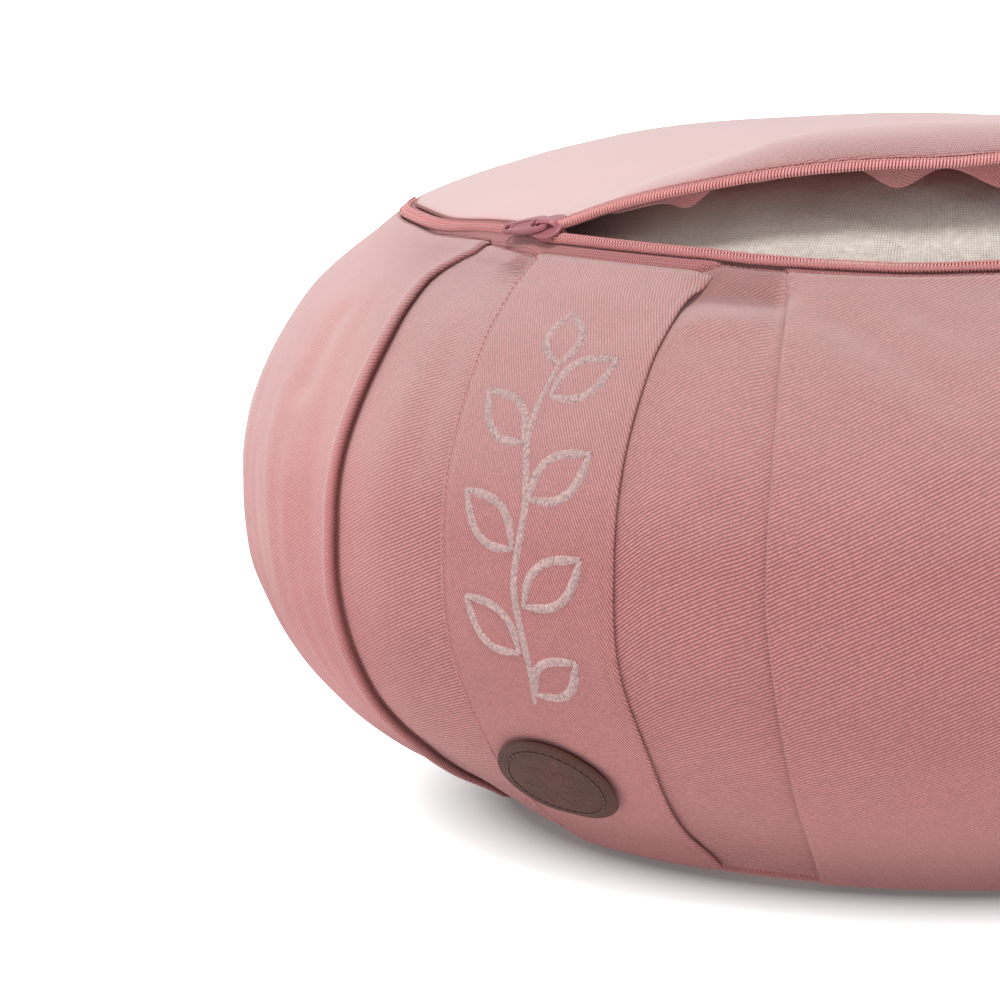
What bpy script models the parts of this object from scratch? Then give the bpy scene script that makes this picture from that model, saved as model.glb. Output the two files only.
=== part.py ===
"""A zafu: a round, pleated meditation cushion whose zip stands open on the filled inner cushion.

Lengths are in metres and angles in degrees. An angle goes round the upright axis from the front (-Y)
towards the left (-X). The origin is the middle of the underside.
"""

import math

import bmesh
import bpy
import numpy as np
from mathutils import Matrix, Vector

MM = 0.001
GAP = 0.0004                # air between pieces that touch
SEAM_GAP = 0.0004           # each side of a seam's groove

# The outer face of the cover, down from the rim seam to the seam under the foot
WALL_PROFILE = (  # radius, height
    (0.1366, 0.1560),
    (0.1633, 0.1317),
    (0.1789, 0.0986),
    (0.1760, 0.0616),
    (0.1549, 0.0311),
    (0.1170, 0.0046),
)
RIM_RADIUS, RIM_HEIGHT = WALL_PROFILE[0]
CROWN_RISE = 0.022          # middle of the top panel above its rim
CROWN_FLATNESS = 2.9        # higher is flatter in the middle
CROWN_EDGE_RUN = 0.92       # level run of a length of cloth at the top panel's edge, as a share of it
FOOT_RADIUS = 0.104         # where the underside lies flat
BOTTOM_SEAM_RADIUS = 0.1165
BOTTOM_SEAM_HEIGHT = 0.0042
CLOTH = 0.0014              # cover cloth with its sewn-in allowance

# The open stretch of the zip, and how far its two edges stand apart there
OPEN_LEFT = 39.0
OPEN_RIGHT = -70.0
LIP_LIFT = 0.0205           # top panel's edge, up
LIP_DRAW_IN = 0.0060        # top panel's edge, towards the middle
RIM_SAG = 0.0034            # side wall's edge, down
SAG_REACH = 0.30            # share of the wall that sags with it

# The zip
ZIP_LEFT = 99.0             # the cloth's edges stand off the chain from here
ZIP_RIGHT = -74.0
ZIP_STEPS = 44
CHAIN_LEFT = 92.0           # the tapes and coils run from here
CHAIN_RIGHT = -71.5
TAPE = 0.0010
TAPE_DEPTH = 0.0023         # tape's outer face below the cover's outer face
TAPE_WIDTH = 0.0085
TAPE_TUCK = 0.0007          # how much deeper its hidden edge lies
TAPE_SHOWS_ON_PLEAT = 0.0040
TAPE_SHOWS_ON_PANEL = 0.0026
COIL_RADIUS = 0.00095
COIL_OFFSET = 0.00115       # a coil's middle from the line where the two coils meet
COIL_OVERHANG = 0.0004      # a coil's middle from its tape's edge
COIL_SPREAD = 0.0011        # how much further apart they are at the slider's open end
COIL_DEPTH = TAPE_DEPTH - GAP - COIL_RADIUS
SLIDER_ANGLE = 41.2
SLIDER_LENGTH = 0.0090
SLIDER_WIDTH = 0.0078
SLIDER_PLATE = 0.0009
BACK_PLATE_WIDTH = 0.0050
BACK_PLATE_DROP = 0.0008    # below the tapes, which slope away on both sides
POST_WIDTH = 0.0014
POST_BACK = 0.0007          # how far the post reaches each way along the slider from its middle
POST_AHEAD = 0.0004
POST_PLACE = 0.40           # share of the slider's length ahead of its middle
BRIDGE_START = -0.0028
BRIDGE_END = 0.0026
BRIDGE_HEIGHT = 0.0019
BRIDGE_BAR = 0.0006
SLIDER_NOSE = 0.62          # share of the width at a plate's narrow end
PULL_LENGTH = 0.0135
PULL_WIDTH = 0.0046
PULL_THICKNESS = 0.0009
PULL_LIFT = 0.0002          # above the slider's top plate
PULL_PLACE = -0.0062        # its middle, along the zip from the slider's
PULL_NOSE = 0.40
PULL_SLOT = (-0.0038, -0.0010)
PULL_SLOT_WIDTH = 0.0022

# Pleat folds: the angle of each at the rim, at mid height and at the foot, and the side on which its
# raised cloth lies over the pleat (+1: the pleat is on the side of greater angles)
PLEAT_FOLDS = [  # rim, middle, foot, side
    (13.2, 11.2, 10.6, 1),
    (50.6, 51.8, 55.5, -1),
    (75.0, 73.0, 68.0, 1),
    (83.0, 83.0, 79.0, -1),
]
BACK_PLEATS = 7             # the rest of the wall, which repeats one plain pleat
BACK_PLEAT_WIDTH = 9.0
FOLD_HEIGHT = 0.0026        # raised cloth above the pleat's floor, at mid height
FOLD_HEIGHT_AT_RIM = 0.0006
FOLD_HEIGHT_AT_FOOT = 0.0012
FOLD_SECTION = (  # distance from the fold line towards the pleat, share of the fold's height
    (-4.6 * MM, 1.00),
    (-1.3 * MM, 1.10),
    (0.1 * MM, 0.45),
    (1.3 * MM, -0.18),
    (4.6 * MM, 0.00),
)
PANEL_PUFF = 0.0012         # how far a raised panel swells between its folds
WALL_ROWS = (0.0, 0.5, *range(1, 12), 12.0)
COLUMN_TURN = 7.0           # widest step between the wall's columns

# The band down the front, in the widest pleat, and the leather patch on it
BAND_WIDTH = 0.050
BAND_MIDDLE = 30.9
BAND_DRIFT = 5.0            # the band leans this much towards the left at the foot
BAND = 0.0012
BAND_HEM = 0.06             # how far the band stops short of the wall's edges, in wall rows
BAND_COLUMNS = 6
PATCH_RADIUS = 0.0177
PATCH = 0.0018
PATCH_PLACE = 0.735         # share of the way down the wall

# The inner cushion stands this far inside the cover's outer face
CASING_DEPTH = 0.0054
CASING_DEPTH_UNDER_CROWN = 0.0022
CASING_BULGE = 0.0055       # its swell into the opening
CASING_WALL = (0.93, 0.045) # its side, from foot to rim, as shares of the way down the wall
CASING_SET_IN = 0.0015      # its crown is this much smaller than the rim

ROUND_STEPS = 60

COLOURS = {  # red, green, blue, roughness
    "rose_twill": (0.53, 0.26, 0.25, 0.85),
    "rose_tape": (0.50, 0.22, 0.22, 0.70),
    "rose_nylon": (0.56, 0.25, 0.24, 0.45),
    "rose_paint": (0.42, 0.17, 0.18, 0.40),
    "greige_cotton": (0.43, 0.36, 0.31, 0.90),
    "brown_leather": (0.10, 0.05, 0.04, 0.55),
}


# Small helpers

def smooth(low, high, value):
    """0 below low, 1 above high, and a soft step between."""
    share = min(1.0, max(0.0, (value - low) / (high - low)))
    return share * share * (3.0 - 2.0 * share)


def mix(low, high, share):
    return low + (high - low) * share


def through(points, steps):
    """A smooth curve through a few points, as steps + 1 points a like distance apart."""
    knots = np.array(points)
    ends = [2 * knots[0] - knots[1], *knots, 2 * knots[-1] - knots[-2]]
    dense = []
    for before, start, end, after in zip(ends, ends[1:], ends[2:], ends[3:]):
        for share in np.linspace(0.0, 1.0, 24, endpoint=False):
            slope_in = (end - before) / 2
            slope_out = (after - start) / 2
            dense.append(
                (2 * share**3 - 3 * share**2 + 1) * start
                + (share**3 - 2 * share**2 + share) * slope_in
                + (3 * share**2 - 2 * share**3) * end
                + (share**3 - share**2) * slope_out
            )
    dense = np.array([*dense, knots[-1]])
    walked = np.concatenate([[0.0], np.cumsum(np.linalg.norm(np.diff(dense, axis=0), axis=1))])
    even = np.linspace(0.0, walked[-1], steps + 1)
    return np.stack([np.interp(even, walked, dense[:, axis]) for axis in range(2)], axis=1), walked[-1]


WALL_CURVE, WALL_LENGTH = through(WALL_PROFILE, 240)


def front_turn(angle):
    """The same angle between -180 and 180."""
    return (angle + 180.0) % 360.0 - 180.0


def around(angle, radius, height):
    turn = math.radians(angle)
    return Vector((-radius * math.sin(turn), -radius * math.cos(turn), height))


# The cover's outer face

def openness(angle):
    """0 where the zip is closed, 1 in the middle of its open stretch."""
    share = (OPEN_LEFT - front_turn(angle)) / (OPEN_LEFT - OPEN_RIGHT)
    return math.sin(math.pi * share) if 0.0 < share < 1.0 else 0.0


def has_zip(angle):
    return ZIP_RIGHT <= front_turn(angle) <= ZIP_LEFT


def wall_point(angle, down, out=0.0):
    """A point on the side wall: down runs from 0 at the rim to 1 at the foot, out is away from it."""
    place = min(1.0, max(0.0, down)) * (len(WALL_CURVE) - 1)
    at = min(int(place), len(WALL_CURVE) - 2)
    radius, height = mix(WALL_CURVE[at], WALL_CURVE[at + 1], place - at)
    along = WALL_CURVE[at + 1] - WALL_CURVE[at]
    along = along / np.linalg.norm(along)
    height -= RIM_SAG * openness(angle) * max(0.0, 1.0 - down / SAG_REACH) ** 2
    return around(angle, radius - along[1] * out, height + along[0] * out)


def crown_height(angle, share):
    """Height of the top panel at a share of the way from its middle to its rim."""
    closed = RIM_HEIGHT + CROWN_RISE * (1.0 - share**CROWN_FLATNESS)
    sharpness = mix(1.2, 0.65, smooth(0.6, 1.0, share))
    return closed + LIP_LIFT * openness(angle) ** sharpness * smooth(0.15, 1.0, share)


def crown_point(angle, share, out=0.0):
    radius = RIM_RADIUS - LIP_DRAW_IN * openness(angle)
    step = 0.01
    slope = (crown_height(angle, share + step) - crown_height(angle, share - step)) / (2 * step * radius)
    if share < step:
        slope = 0.0
    normal = 1.0 / math.hypot(1.0, slope)
    return around(
        angle, share * radius - slope * normal * out, crown_height(angle, share) + normal * out
    )


def zip_point(side, angle, inside, out=0.0):
    """A point by the zip: inside is the distance from the line where the coils meet."""
    if side == "lower":
        return wall_point(angle, inside / WALL_LENGTH, out)
    return crown_point(angle, 1.0 - CROWN_EDGE_RUN * inside / RIM_RADIUS, out)


# Pleats

def fold_angle(fold, down):
    """A fold's line: it bows between its angles at the rim, mid height and foot."""
    rim, middle, foot, _ = fold
    if down < 0.5:
        return mix(rim, middle, smooth(0.0, 0.5, down))
    return mix(middle, foot, smooth(0.5, 1.0, down))


def fold_height(down):
    ends = mix(FOLD_HEIGHT_AT_RIM, FOLD_HEIGHT_AT_FOOT, down)
    return mix(ends, FOLD_HEIGHT, smooth(0.05, 0.30, down) * smooth(1.0, 0.70, down))


def all_folds():
    """Every fold once round, from the front towards the left."""
    folds = list(PLEAT_FOLDS)
    free = 360.0 + PLEAT_FOLDS[0][1] - PLEAT_FOLDS[-1][1]
    panel = (free - BACK_PLEATS * BACK_PLEAT_WIDTH) / (BACK_PLEATS + 1)
    for pleat in range(BACK_PLEATS):
        start = PLEAT_FOLDS[-1][1] + panel * (pleat + 1) + BACK_PLEAT_WIDTH * pleat
        folds.append((start, start, start, 1))
        end = start + BACK_PLEAT_WIDTH
        folds.append((end, end, end, -1))
    return folds


def wall_row(down):
    """Angle and distance out of each point of one level line round the pleated wall."""
    folds = all_folds()
    height = fold_height(down)
    radius = wall_point(180.0, down).xy.length
    row = []
    for number, fold in enumerate(folds):
        following = folds[(number + 1) % len(folds)]
        side = fold[3]
        for distance, share in FOLD_SECTION[::side]:
            turn = side * math.degrees(distance / radius)
            row.append((fold_angle(fold, down) + turn, (share - 1.0) * height))
        edge = math.degrees(FOLD_SECTION[-1][0] / radius)
        start = fold_angle(fold, down) + edge
        end = fold_angle(following, down) - edge
        if end < start:
            end += 360.0
        pleat = side == 1
        columns = max(1, round((fold_angle(following, 0.5) - fold_angle(fold, 0.5)) % 360 / COLUMN_TURN))
        for column in range(1, columns):
            share = column / columns
            swell = 0.0 if pleat else PANEL_PUFF * math.sin(math.pi * share)
            swell *= smooth(0.0, 0.3, down) * smooth(1.0, 0.8, down)
            row.append((mix(start, end, share), -height * pleat + swell))
    return row


def in_pleat(angle):
    """Whether a place at the rim is on the floor of a pleat."""
    first, second = PLEAT_FOLDS[0], PLEAT_FOLDS[1]
    return smooth(first[0] - 1, first[0] + 1, angle) * smooth(second[0] + 1, second[0] - 1, angle)


def cloth_edge(angle):
    """How far the cloth's edge stops short of the line where the coils meet."""
    if not has_zip(angle):
        return SEAM_GAP
    return mix(TAPE_SHOWS_ON_PANEL, TAPE_SHOWS_ON_PLEAT, in_pleat(front_turn(angle)))


# Objects

def clear_scene():
    for thing in list(bpy.data.objects):
        bpy.data.objects.remove(thing, do_unlink=True)


def new_collection(name):
    collection = bpy.data.collections.new(name)
    bpy.context.scene.collection.children.link(collection)
    return collection


def make_material(name):
    red, green, blue, roughness = COLOURS[name]
    material = bpy.data.materials.new(name)
    material.use_nodes = True
    shader = material.node_tree.nodes["Principled BSDF"]
    shader.inputs["Base Color"].default_value = (red, green, blue, 1.0)
    shader.inputs["Roughness"].default_value = roughness
    shader.inputs["Metallic"].default_value = 0.0
    return material


def add_object(name, mesh, collection, material):
    thing = bpy.data.objects.new(name, mesh)
    collection.objects.link(thing)
    mesh.materials.append(material)
    mesh.shade_smooth()
    mesh.set_sharp_from_angle(angle=math.radians(50.0))
    return thing


def grid_mesh(name, rows, closed=False):
    """Faces between rows of points, each row as long as the next."""
    mesh = bmesh.new()
    lines = [[mesh.verts.new(point) for point in row] for row in rows]
    for upper, lower in zip(lines, lines[1:]):
        count = len(upper)
        for column in range(count if closed else count - 1):
            following = (column + 1) % count
            mesh.faces.new((upper[column], lower[column], lower[following], upper[following]))
    data = bpy.data.meshes.new(name)
    mesh.to_mesh(data)
    mesh.free()
    return data


def disc_mesh(name, middle, rings):
    """Faces of a disc, from one middle point out through rings of points."""
    mesh = bmesh.new()
    centre = mesh.verts.new(middle)
    lines = [[mesh.verts.new(point) for point in ring] for ring in rings]
    count = len(rings[0])
    for column in range(count):
        mesh.faces.new((centre, lines[0][column], lines[0][(column + 1) % count]))
    for inner, outer in zip(lines, lines[1:]):
        for column in range(count):
            following = (column + 1) % count
            mesh.faces.new((inner[column], outer[column], outer[following], inner[following]))
    data = bpy.data.meshes.new(name)
    mesh.to_mesh(data)
    mesh.free()
    return data


def face_out(data, along):
    """Turn a sheet's faces so that the first looks the way of along."""
    if data.polygons[0].normal.dot(along) < 0.0:
        data.flip_normals()


def thicken(thing, thickness):
    """Give a sheet its thickness, inwards from the face that shows."""
    solid = thing.modifiers.new("thickness", "SOLIDIFY")
    solid.thickness = thickness
    solid.offset = -1.0
    solid.use_rim = True


# Pieces

def make_side_wall(collection, material):
    rows = []
    for number in WALL_ROWS:
        down = number / WALL_ROWS[-1]
        row = []
        for angle, out in wall_row(down):
            start = cloth_edge(angle) / WALL_LENGTH
            row.append(wall_point(angle, mix(start, 1.0, down), out))
        rows.append(row)
    data = grid_mesh("side_wall", rows, closed=True)
    face_out(data, around(wall_row(0.0)[0][0], 1.0, 0.5))
    thicken(add_object("side_wall", data, collection, material), CLOTH)


def make_top_panel(collection, material):
    ring_shares = (0.16, 0.34, 0.52, 0.68, 0.80, 0.90, 1.0)
    rings = []
    for share in ring_shares:
        ring = []
        for step in range(ROUND_STEPS):
            angle = 360.0 * step / ROUND_STEPS
            edge = 1.0 - CROWN_EDGE_RUN * cloth_edge(angle) / RIM_RADIUS
            ring.append(crown_point(angle, share * edge))
        rings.append(ring)
    data = disc_mesh("top_panel", crown_point(0.0, 0.0), rings)
    face_out(data, Vector((0.0, 0.0, 1.0)))
    thicken(add_object("top_panel", data, collection, material), CLOTH)


def make_bottom_panel(collection, material):
    """A turned sheet: flat where it rests, then up to its seam."""
    profile = bmesh.new()
    previous = profile.verts.new((0.0, 0.0, 0.0))
    curl_steps = 3
    radii = [FOOT_RADIUS + (BOTTOM_SEAM_RADIUS - FOOT_RADIUS) * n / curl_steps for n in range(curl_steps + 1)]
    for radius in radii:
        curl = (radius - FOOT_RADIUS) / (BOTTOM_SEAM_RADIUS - FOOT_RADIUS)
        point = profile.verts.new((radius, 0.0, BOTTOM_SEAM_HEIGHT * curl * curl))
        profile.edges.new((point, previous))
        previous = point
    data = bpy.data.meshes.new("bottom_panel")
    profile.to_mesh(data)
    profile.free()
    thing = add_object("bottom_panel", data, collection, material)
    screw = thing.modifiers.new("turn", "SCREW")
    screw.steps = ROUND_STEPS
    screw.render_steps = ROUND_STEPS
    screw.use_merge_vertices = True
    screw.merge_threshold = 0.00001
    thicken(thing, CLOTH)


def make_inner_cushion(collection, material):
    """The filled casing: one closed round form, a little smaller than the cover."""
    wall_steps = 9
    crown_shares = (0.97, 0.92, 0.84, 0.72, 0.55, 0.35, 0.16)
    steps = 48
    rings = []
    foot_height = CLOTH + GAP
    for radius in (0.060, 0.100):
        rings.append([around(360.0 * n / steps, radius, foot_height) for n in range(steps)])
    for number in range(wall_steps + 1):
        down = mix(*CASING_WALL, number / wall_steps)
        rings.append([wall_point(360.0 * n / steps, down, -CASING_DEPTH) for n in range(steps)])
    for share in crown_shares:
        ring = []
        for n in range(steps):
            angle = 360.0 * n / steps
            closed = RIM_HEIGHT + CROWN_RISE * (1.0 - share**CROWN_FLATNESS)
            depth = mix(CASING_DEPTH_UNDER_CROWN, CASING_DEPTH, smooth(0.75, 0.95, share))
            bulge = CASING_BULGE * openness(angle) * smooth(0.5, 0.85, share) * smooth(1.0, 0.88, share)
            ring.append(around(angle, share * (RIM_RADIUS - CASING_SET_IN), closed - depth + bulge))
        rings.append(ring)
    data = disc_mesh("inner_cushion", Vector((0.0, 0.0, foot_height)), rings)
    solid = bmesh.new()
    solid.from_mesh(data)
    crown = RIM_HEIGHT + CROWN_RISE - CASING_DEPTH_UNDER_CROWN
    top = solid.verts.new((0.0, 0.0, crown))
    solid.verts.ensure_lookup_table()
    last = [solid.verts[n] for n in range(len(solid.verts) - 1 - steps, len(solid.verts) - 1)]
    for n in range(steps):
        solid.faces.new((last[n], top, last[(n + 1) % steps]))
    bmesh.ops.recalc_face_normals(solid, faces=solid.faces[:])
    solid.to_mesh(data)
    solid.free()
    add_object("inner_cushion", data, collection, material)


def zip_angles():
    """Angles along the zip, closer together at the slider, where its edges part."""
    near = [SLIDER_ANGLE + turn for turn in range(-6, 4)]
    far = [mix(CHAIN_LEFT, CHAIN_RIGHT, n / ZIP_STEPS) for n in range(ZIP_STEPS + 1)]
    far = [angle for angle in far if min(abs(angle - other) for other in near) > 1.0]
    return sorted(near + far, reverse=True)


def coil_inside(angle):
    """How far a coil's middle is from the line where the coils meet."""
    slider_half = math.degrees(SLIDER_LENGTH / 2 / RIM_RADIUS)
    spreading = smooth(SLIDER_ANGLE + slider_half, SLIDER_ANGLE - slider_half / 2, angle)
    settling = smooth(SLIDER_ANGLE - 2.2 * slider_half, SLIDER_ANGLE - 4.5 * slider_half, angle)
    return COIL_OFFSET + COIL_SPREAD * spreading * (1.0 - settling)


def make_zip_tape(side, collection, material):
    rows = []
    for angle in zip_angles():
        edge = coil_inside(angle) - COIL_OVERHANG
        across = (edge, mix(edge, TAPE_WIDTH, 0.5), TAPE_WIDTH)
        depths = (TAPE_DEPTH, TAPE_DEPTH + TAPE_TUCK / 2, TAPE_DEPTH + TAPE_TUCK)
        rows.append([zip_point(side, angle, inside, -depth) for inside, depth in zip(across, depths)])
    name = "zip_tape_" + side
    data = grid_mesh(name, rows)
    face_out(data, Vector((0.0, 0.0, 1.0)))
    thicken(add_object(name, data, collection, material), TAPE)


def make_zip_coil(side, collection, material):
    name = "zip_coil_" + side
    path = bpy.data.curves.new(name, "CURVE")
    path.dimensions = "3D"
    path.bevel_depth = COIL_RADIUS
    path.bevel_resolution = 2
    path.use_fill_caps = True
    angles = zip_angles()
    spline = path.splines.new("POLY")
    spline.points.add(len(angles) - 1)
    for point, angle in zip(spline.points, angles):
        place = zip_point(side, angle, coil_inside(angle), -COIL_DEPTH)
        point.co = (*place, 1.0)
    coil = bpy.data.objects.new(name, path)
    collection.objects.link(coil)
    path.materials.append(material)


def slider_frame():
    """A matrix on the closed chain: X along the zip to its open end, Y across it, Z out of the cloth."""
    middle = zip_point("lower", SLIDER_ANGLE, 0.0)
    ahead = zip_point("lower", SLIDER_ANGLE - 1.0, 0.0)
    x_axis = (ahead - middle).normalized()
    up = (zip_point("lower", SLIDER_ANGLE, 0.0, 0.01) + zip_point("upper", SLIDER_ANGLE, 0.0, 0.01)) / 2
    z_axis = (up - middle).normalized()
    y_axis = z_axis.cross(x_axis).normalized()
    z_axis = x_axis.cross(y_axis)
    frame = bpy.data.objects.new("slider_frame", None)
    turn = Matrix((x_axis, y_axis, z_axis)).transposed()
    frame.matrix_world = Matrix.Translation(middle) @ turn.to_4x4()
    return frame


def shield_mesh(name, length, width, nose, thickness, height):
    """A flat plate, wide over half its length and drawn in towards both ends."""
    outline = (  # share of length, share of half width
        (-0.5, nose),
        (-0.30, 0.86),
        (0.0, 1.0),
        (0.32, 1.0),
        (0.5, 0.55),
    )
    plate = bmesh.new()
    ring = [(x * length, y * width / 2) for x, y in outline]
    ring += [(x, -y) for x, y in reversed(ring)]
    base = plate.faces.new([plate.verts.new((x, y, height)) for x, y in ring])
    lifted = bmesh.ops.extrude_face_region(plate, geom=[base])["geom"]
    moved = [part for part in lifted if isinstance(part, bmesh.types.BMVert)]
    bmesh.ops.translate(plate, verts=moved, vec=(0.0, 0.0, thickness))
    bmesh.ops.recalc_face_normals(plate, faces=plate.faces[:])
    data = bpy.data.meshes.new(name)
    plate.to_mesh(data)
    plate.free()
    return data


def make_helper(name, data, frame, cutters):
    helper = bpy.data.objects.new(name, data)
    cutters.objects.link(helper)
    helper.parent = frame
    helper.hide_render = True
    helper.display_type = "WIRE"
    return helper


def box_mesh(name, low, high):
    box = bmesh.new()
    bmesh.ops.create_cube(box, size=1.0)
    for vertex in box.verts:
        for axis in range(3):
            vertex.co[axis] = mix(low[axis], high[axis], vertex.co[axis] + 0.5)
    data = bpy.data.meshes.new(name)
    box.to_mesh(data)
    box.free()
    return data


def boolean(thing, other, operation):
    cut = thing.modifiers.new(operation.lower(), "BOOLEAN")
    cut.operation = operation
    cut.solver = "EXACT"
    cut.object = other


def make_slider(frame, collection, cutters, material):
    """Two plates joined by a post between the coils, with a bridge on top for the pull."""
    top_face = GAP + 0.0001
    under_face = -TAPE_DEPTH - TAPE - BACK_PLATE_DROP
    data = shield_mesh("zip_slider", SLIDER_LENGTH, SLIDER_WIDTH, SLIDER_NOSE, SLIDER_PLATE, top_face)
    slider = add_object("zip_slider", data, collection, material)
    slider.parent = frame
    lower_data = shield_mesh(
        "slider_back", SLIDER_LENGTH, BACK_PLATE_WIDTH, SLIDER_NOSE, SLIDER_PLATE, under_face - SLIDER_PLATE
    )
    boolean(slider, make_helper("slider_back", lower_data, frame, cutters), "UNION")
    half = POST_WIDTH / 2
    post_x = POST_PLACE * SLIDER_LENGTH
    post_data = box_mesh(
        "slider_post",
        (post_x - POST_BACK, -half, under_face - SLIDER_PLATE / 2),
        (post_x + POST_AHEAD, half, top_face + SLIDER_PLATE / 2),
    )
    boolean(slider, make_helper("slider_post", post_data, frame, cutters), "UNION")
    plate_top = top_face + SLIDER_PLATE
    bridge_data = box_mesh(
        "slider_bridge",
        (BRIDGE_START, -half, plate_top - SLIDER_PLATE / 2),
        (BRIDGE_END, half, plate_top + BRIDGE_HEIGHT),
    )
    boolean(slider, make_helper("slider_bridge", bridge_data, frame, cutters), "UNION")
    window_data = box_mesh(
        "bridge_window",
        (BRIDGE_START + BRIDGE_BAR, -POST_WIDTH, plate_top - 0.01 * MM),
        (BRIDGE_END - 1.5 * BRIDGE_BAR, POST_WIDTH, plate_top + BRIDGE_HEIGHT - BRIDGE_BAR),
    )
    boolean(slider, make_helper("bridge_window", window_data, frame, cutters), "DIFFERENCE")
    return plate_top


def make_pull(frame, plate_top, collection, cutters, material):
    """A flat tab with a slot that hangs on the bridge and lies along the closed chain."""
    data = shield_mesh("zip_pull", PULL_LENGTH, PULL_WIDTH, PULL_NOSE, PULL_THICKNESS, 0.0)
    pull = add_object("zip_pull", data, collection, material)
    pull.parent = frame
    pull.location = (PULL_PLACE, 0.0, plate_top + PULL_LIFT)
    half = PULL_SLOT_WIDTH / 2
    slot_data = box_mesh("pull_slot", (PULL_SLOT[0], -half, -0.01), (PULL_SLOT[1], half, 0.01))
    boolean(pull, make_helper("pull_slot", slot_data, frame, cutters), "DIFFERENCE")


def band_middle(down):
    return BAND_MIDDLE + BAND_DRIFT * smooth(0.5, 0.85, down)


def band_point(across, down, out):
    """A point over the pleat's floor, across metres to the left of the band's middle."""
    radius = wall_point(180.0, down).xy.length
    angle = band_middle(down) + math.degrees(across / radius)
    return wall_point(angle, down, out - fold_height(down))


def make_band(collection, material):
    start = TAPE_SHOWS_ON_PLEAT / WALL_LENGTH
    across = [BAND_WIDTH * (n / BAND_COLUMNS - 0.5) for n in range(BAND_COLUMNS + 1)]
    rows = []
    for number in (BAND_HEM, *WALL_ROWS[1:-1], WALL_ROWS[-1] - BAND_HEM):
        down = mix(start, 1.0, number / WALL_ROWS[-1])
        rows.append([band_point(left, down, GAP + BAND) for left in across])
    data = grid_mesh("label_band", rows)
    face_out(data, around(BAND_MIDDLE, 1.0, 0.5))
    thicken(add_object("label_band", data, collection, material), BAND)


def make_patch(collection, material):
    steps = 28
    out = 2 * GAP + BAND + PATCH
    rings = []
    for share in (0.35, 0.7, 1.0):
        ring = []
        for n in range(steps):
            turn = 2 * math.pi * n / steps
            across = share * PATCH_RADIUS * math.cos(turn)
            down = PATCH_PLACE + share * PATCH_RADIUS * math.sin(turn) / WALL_LENGTH
            ring.append(band_point(across, down, out))
        rings.append(ring)
    data = disc_mesh("leather_patch", band_point(0.0, PATCH_PLACE, out), rings)
    face_out(data, around(BAND_MIDDLE, 1.0, -0.5))
    thicken(add_object("leather_patch", data, collection, material), PATCH)


def main():
    clear_scene()
    cushion = new_collection("zafu_cushion")
    cutters = new_collection("cutters")
    materials = {name: make_material(name) for name in COLOURS}
    make_inner_cushion(cushion, materials["greige_cotton"])
    make_side_wall(cushion, materials["rose_twill"])
    make_top_panel(cushion, materials["rose_twill"])
    make_bottom_panel(cushion, materials["rose_twill"])
    for side in ("lower", "upper"):
        make_zip_tape(side, cushion, materials["rose_tape"])
        make_zip_coil(side, cushion, materials["rose_nylon"])
    frame = slider_frame()
    cushion.objects.link(frame)
    plate_top = make_slider(frame, cushion, cutters, materials["rose_paint"])
    make_pull(frame, plate_top, cushion, cutters, materials["rose_paint"])
    make_band(cushion, materials["rose_twill"])
    make_patch(cushion, materials["brown_leather"])


main()
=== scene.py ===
"""The looks of a zafu: pleated twill cover, open zip, cotton casing, stitched band and leather patch.

Lengths are in metres and angles in degrees. An angle goes round the upright axis from the front (-Y)
towards the left (-X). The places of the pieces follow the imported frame, whose formulas are repeated here.
"""

import math

import bmesh
import bpy
import numpy as np
from mathutils import Matrix, Vector


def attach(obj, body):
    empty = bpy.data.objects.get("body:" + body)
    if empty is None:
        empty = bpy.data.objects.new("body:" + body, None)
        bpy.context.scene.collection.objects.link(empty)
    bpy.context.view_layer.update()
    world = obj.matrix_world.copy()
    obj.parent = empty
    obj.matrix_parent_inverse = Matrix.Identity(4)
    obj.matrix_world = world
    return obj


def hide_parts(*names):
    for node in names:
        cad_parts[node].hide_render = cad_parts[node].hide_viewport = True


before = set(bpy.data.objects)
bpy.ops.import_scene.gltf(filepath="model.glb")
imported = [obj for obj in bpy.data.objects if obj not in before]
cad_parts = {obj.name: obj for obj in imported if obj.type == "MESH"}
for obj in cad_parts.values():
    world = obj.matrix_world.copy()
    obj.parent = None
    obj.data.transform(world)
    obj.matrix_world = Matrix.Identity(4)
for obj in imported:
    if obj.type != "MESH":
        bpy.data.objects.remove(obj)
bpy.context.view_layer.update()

bl_info = {
    "name": "Zafu cushion",
    "version": (1, 0, 0),
    "blender": (4, 5, 0),
    "location": "View3D > Sidebar > Zafu",
    "description": "Makes the cloth, zip, casing, band and patch of a pleated meditation cushion",
    "category": "Add Mesh",
}

MM = 0.001

# The cover's form, as in the frame
GAP = 0.4 * MM
SEAM_GAP = 0.4 * MM
WALL_PROFILE = (  # radius, height
    (0.1366, 0.1560),
    (0.1633, 0.1317),
    (0.1789, 0.0986),
    (0.1760, 0.0616),
    (0.1549, 0.0311),
    (0.1170, 0.0046),
)
RIM_RADIUS, RIM_HEIGHT = WALL_PROFILE[0]
CROWN_RISE = 0.022
CROWN_FLATNESS = 2.9
CROWN_EDGE_RUN = 0.92
FOOT_RADIUS = 0.104
CLOTH = 1.1 * MM
HEM_CURL = 0.8 * MM       # how far a cloth's turned-in edge dips
OPEN_LEFT = 39.0
OPEN_RIGHT = -70.0
LIP_LIFT = 0.0205
LIP_DRAW_IN = 0.0060
RIM_SAG = 0.0034
SAG_REACH = 0.30

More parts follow.
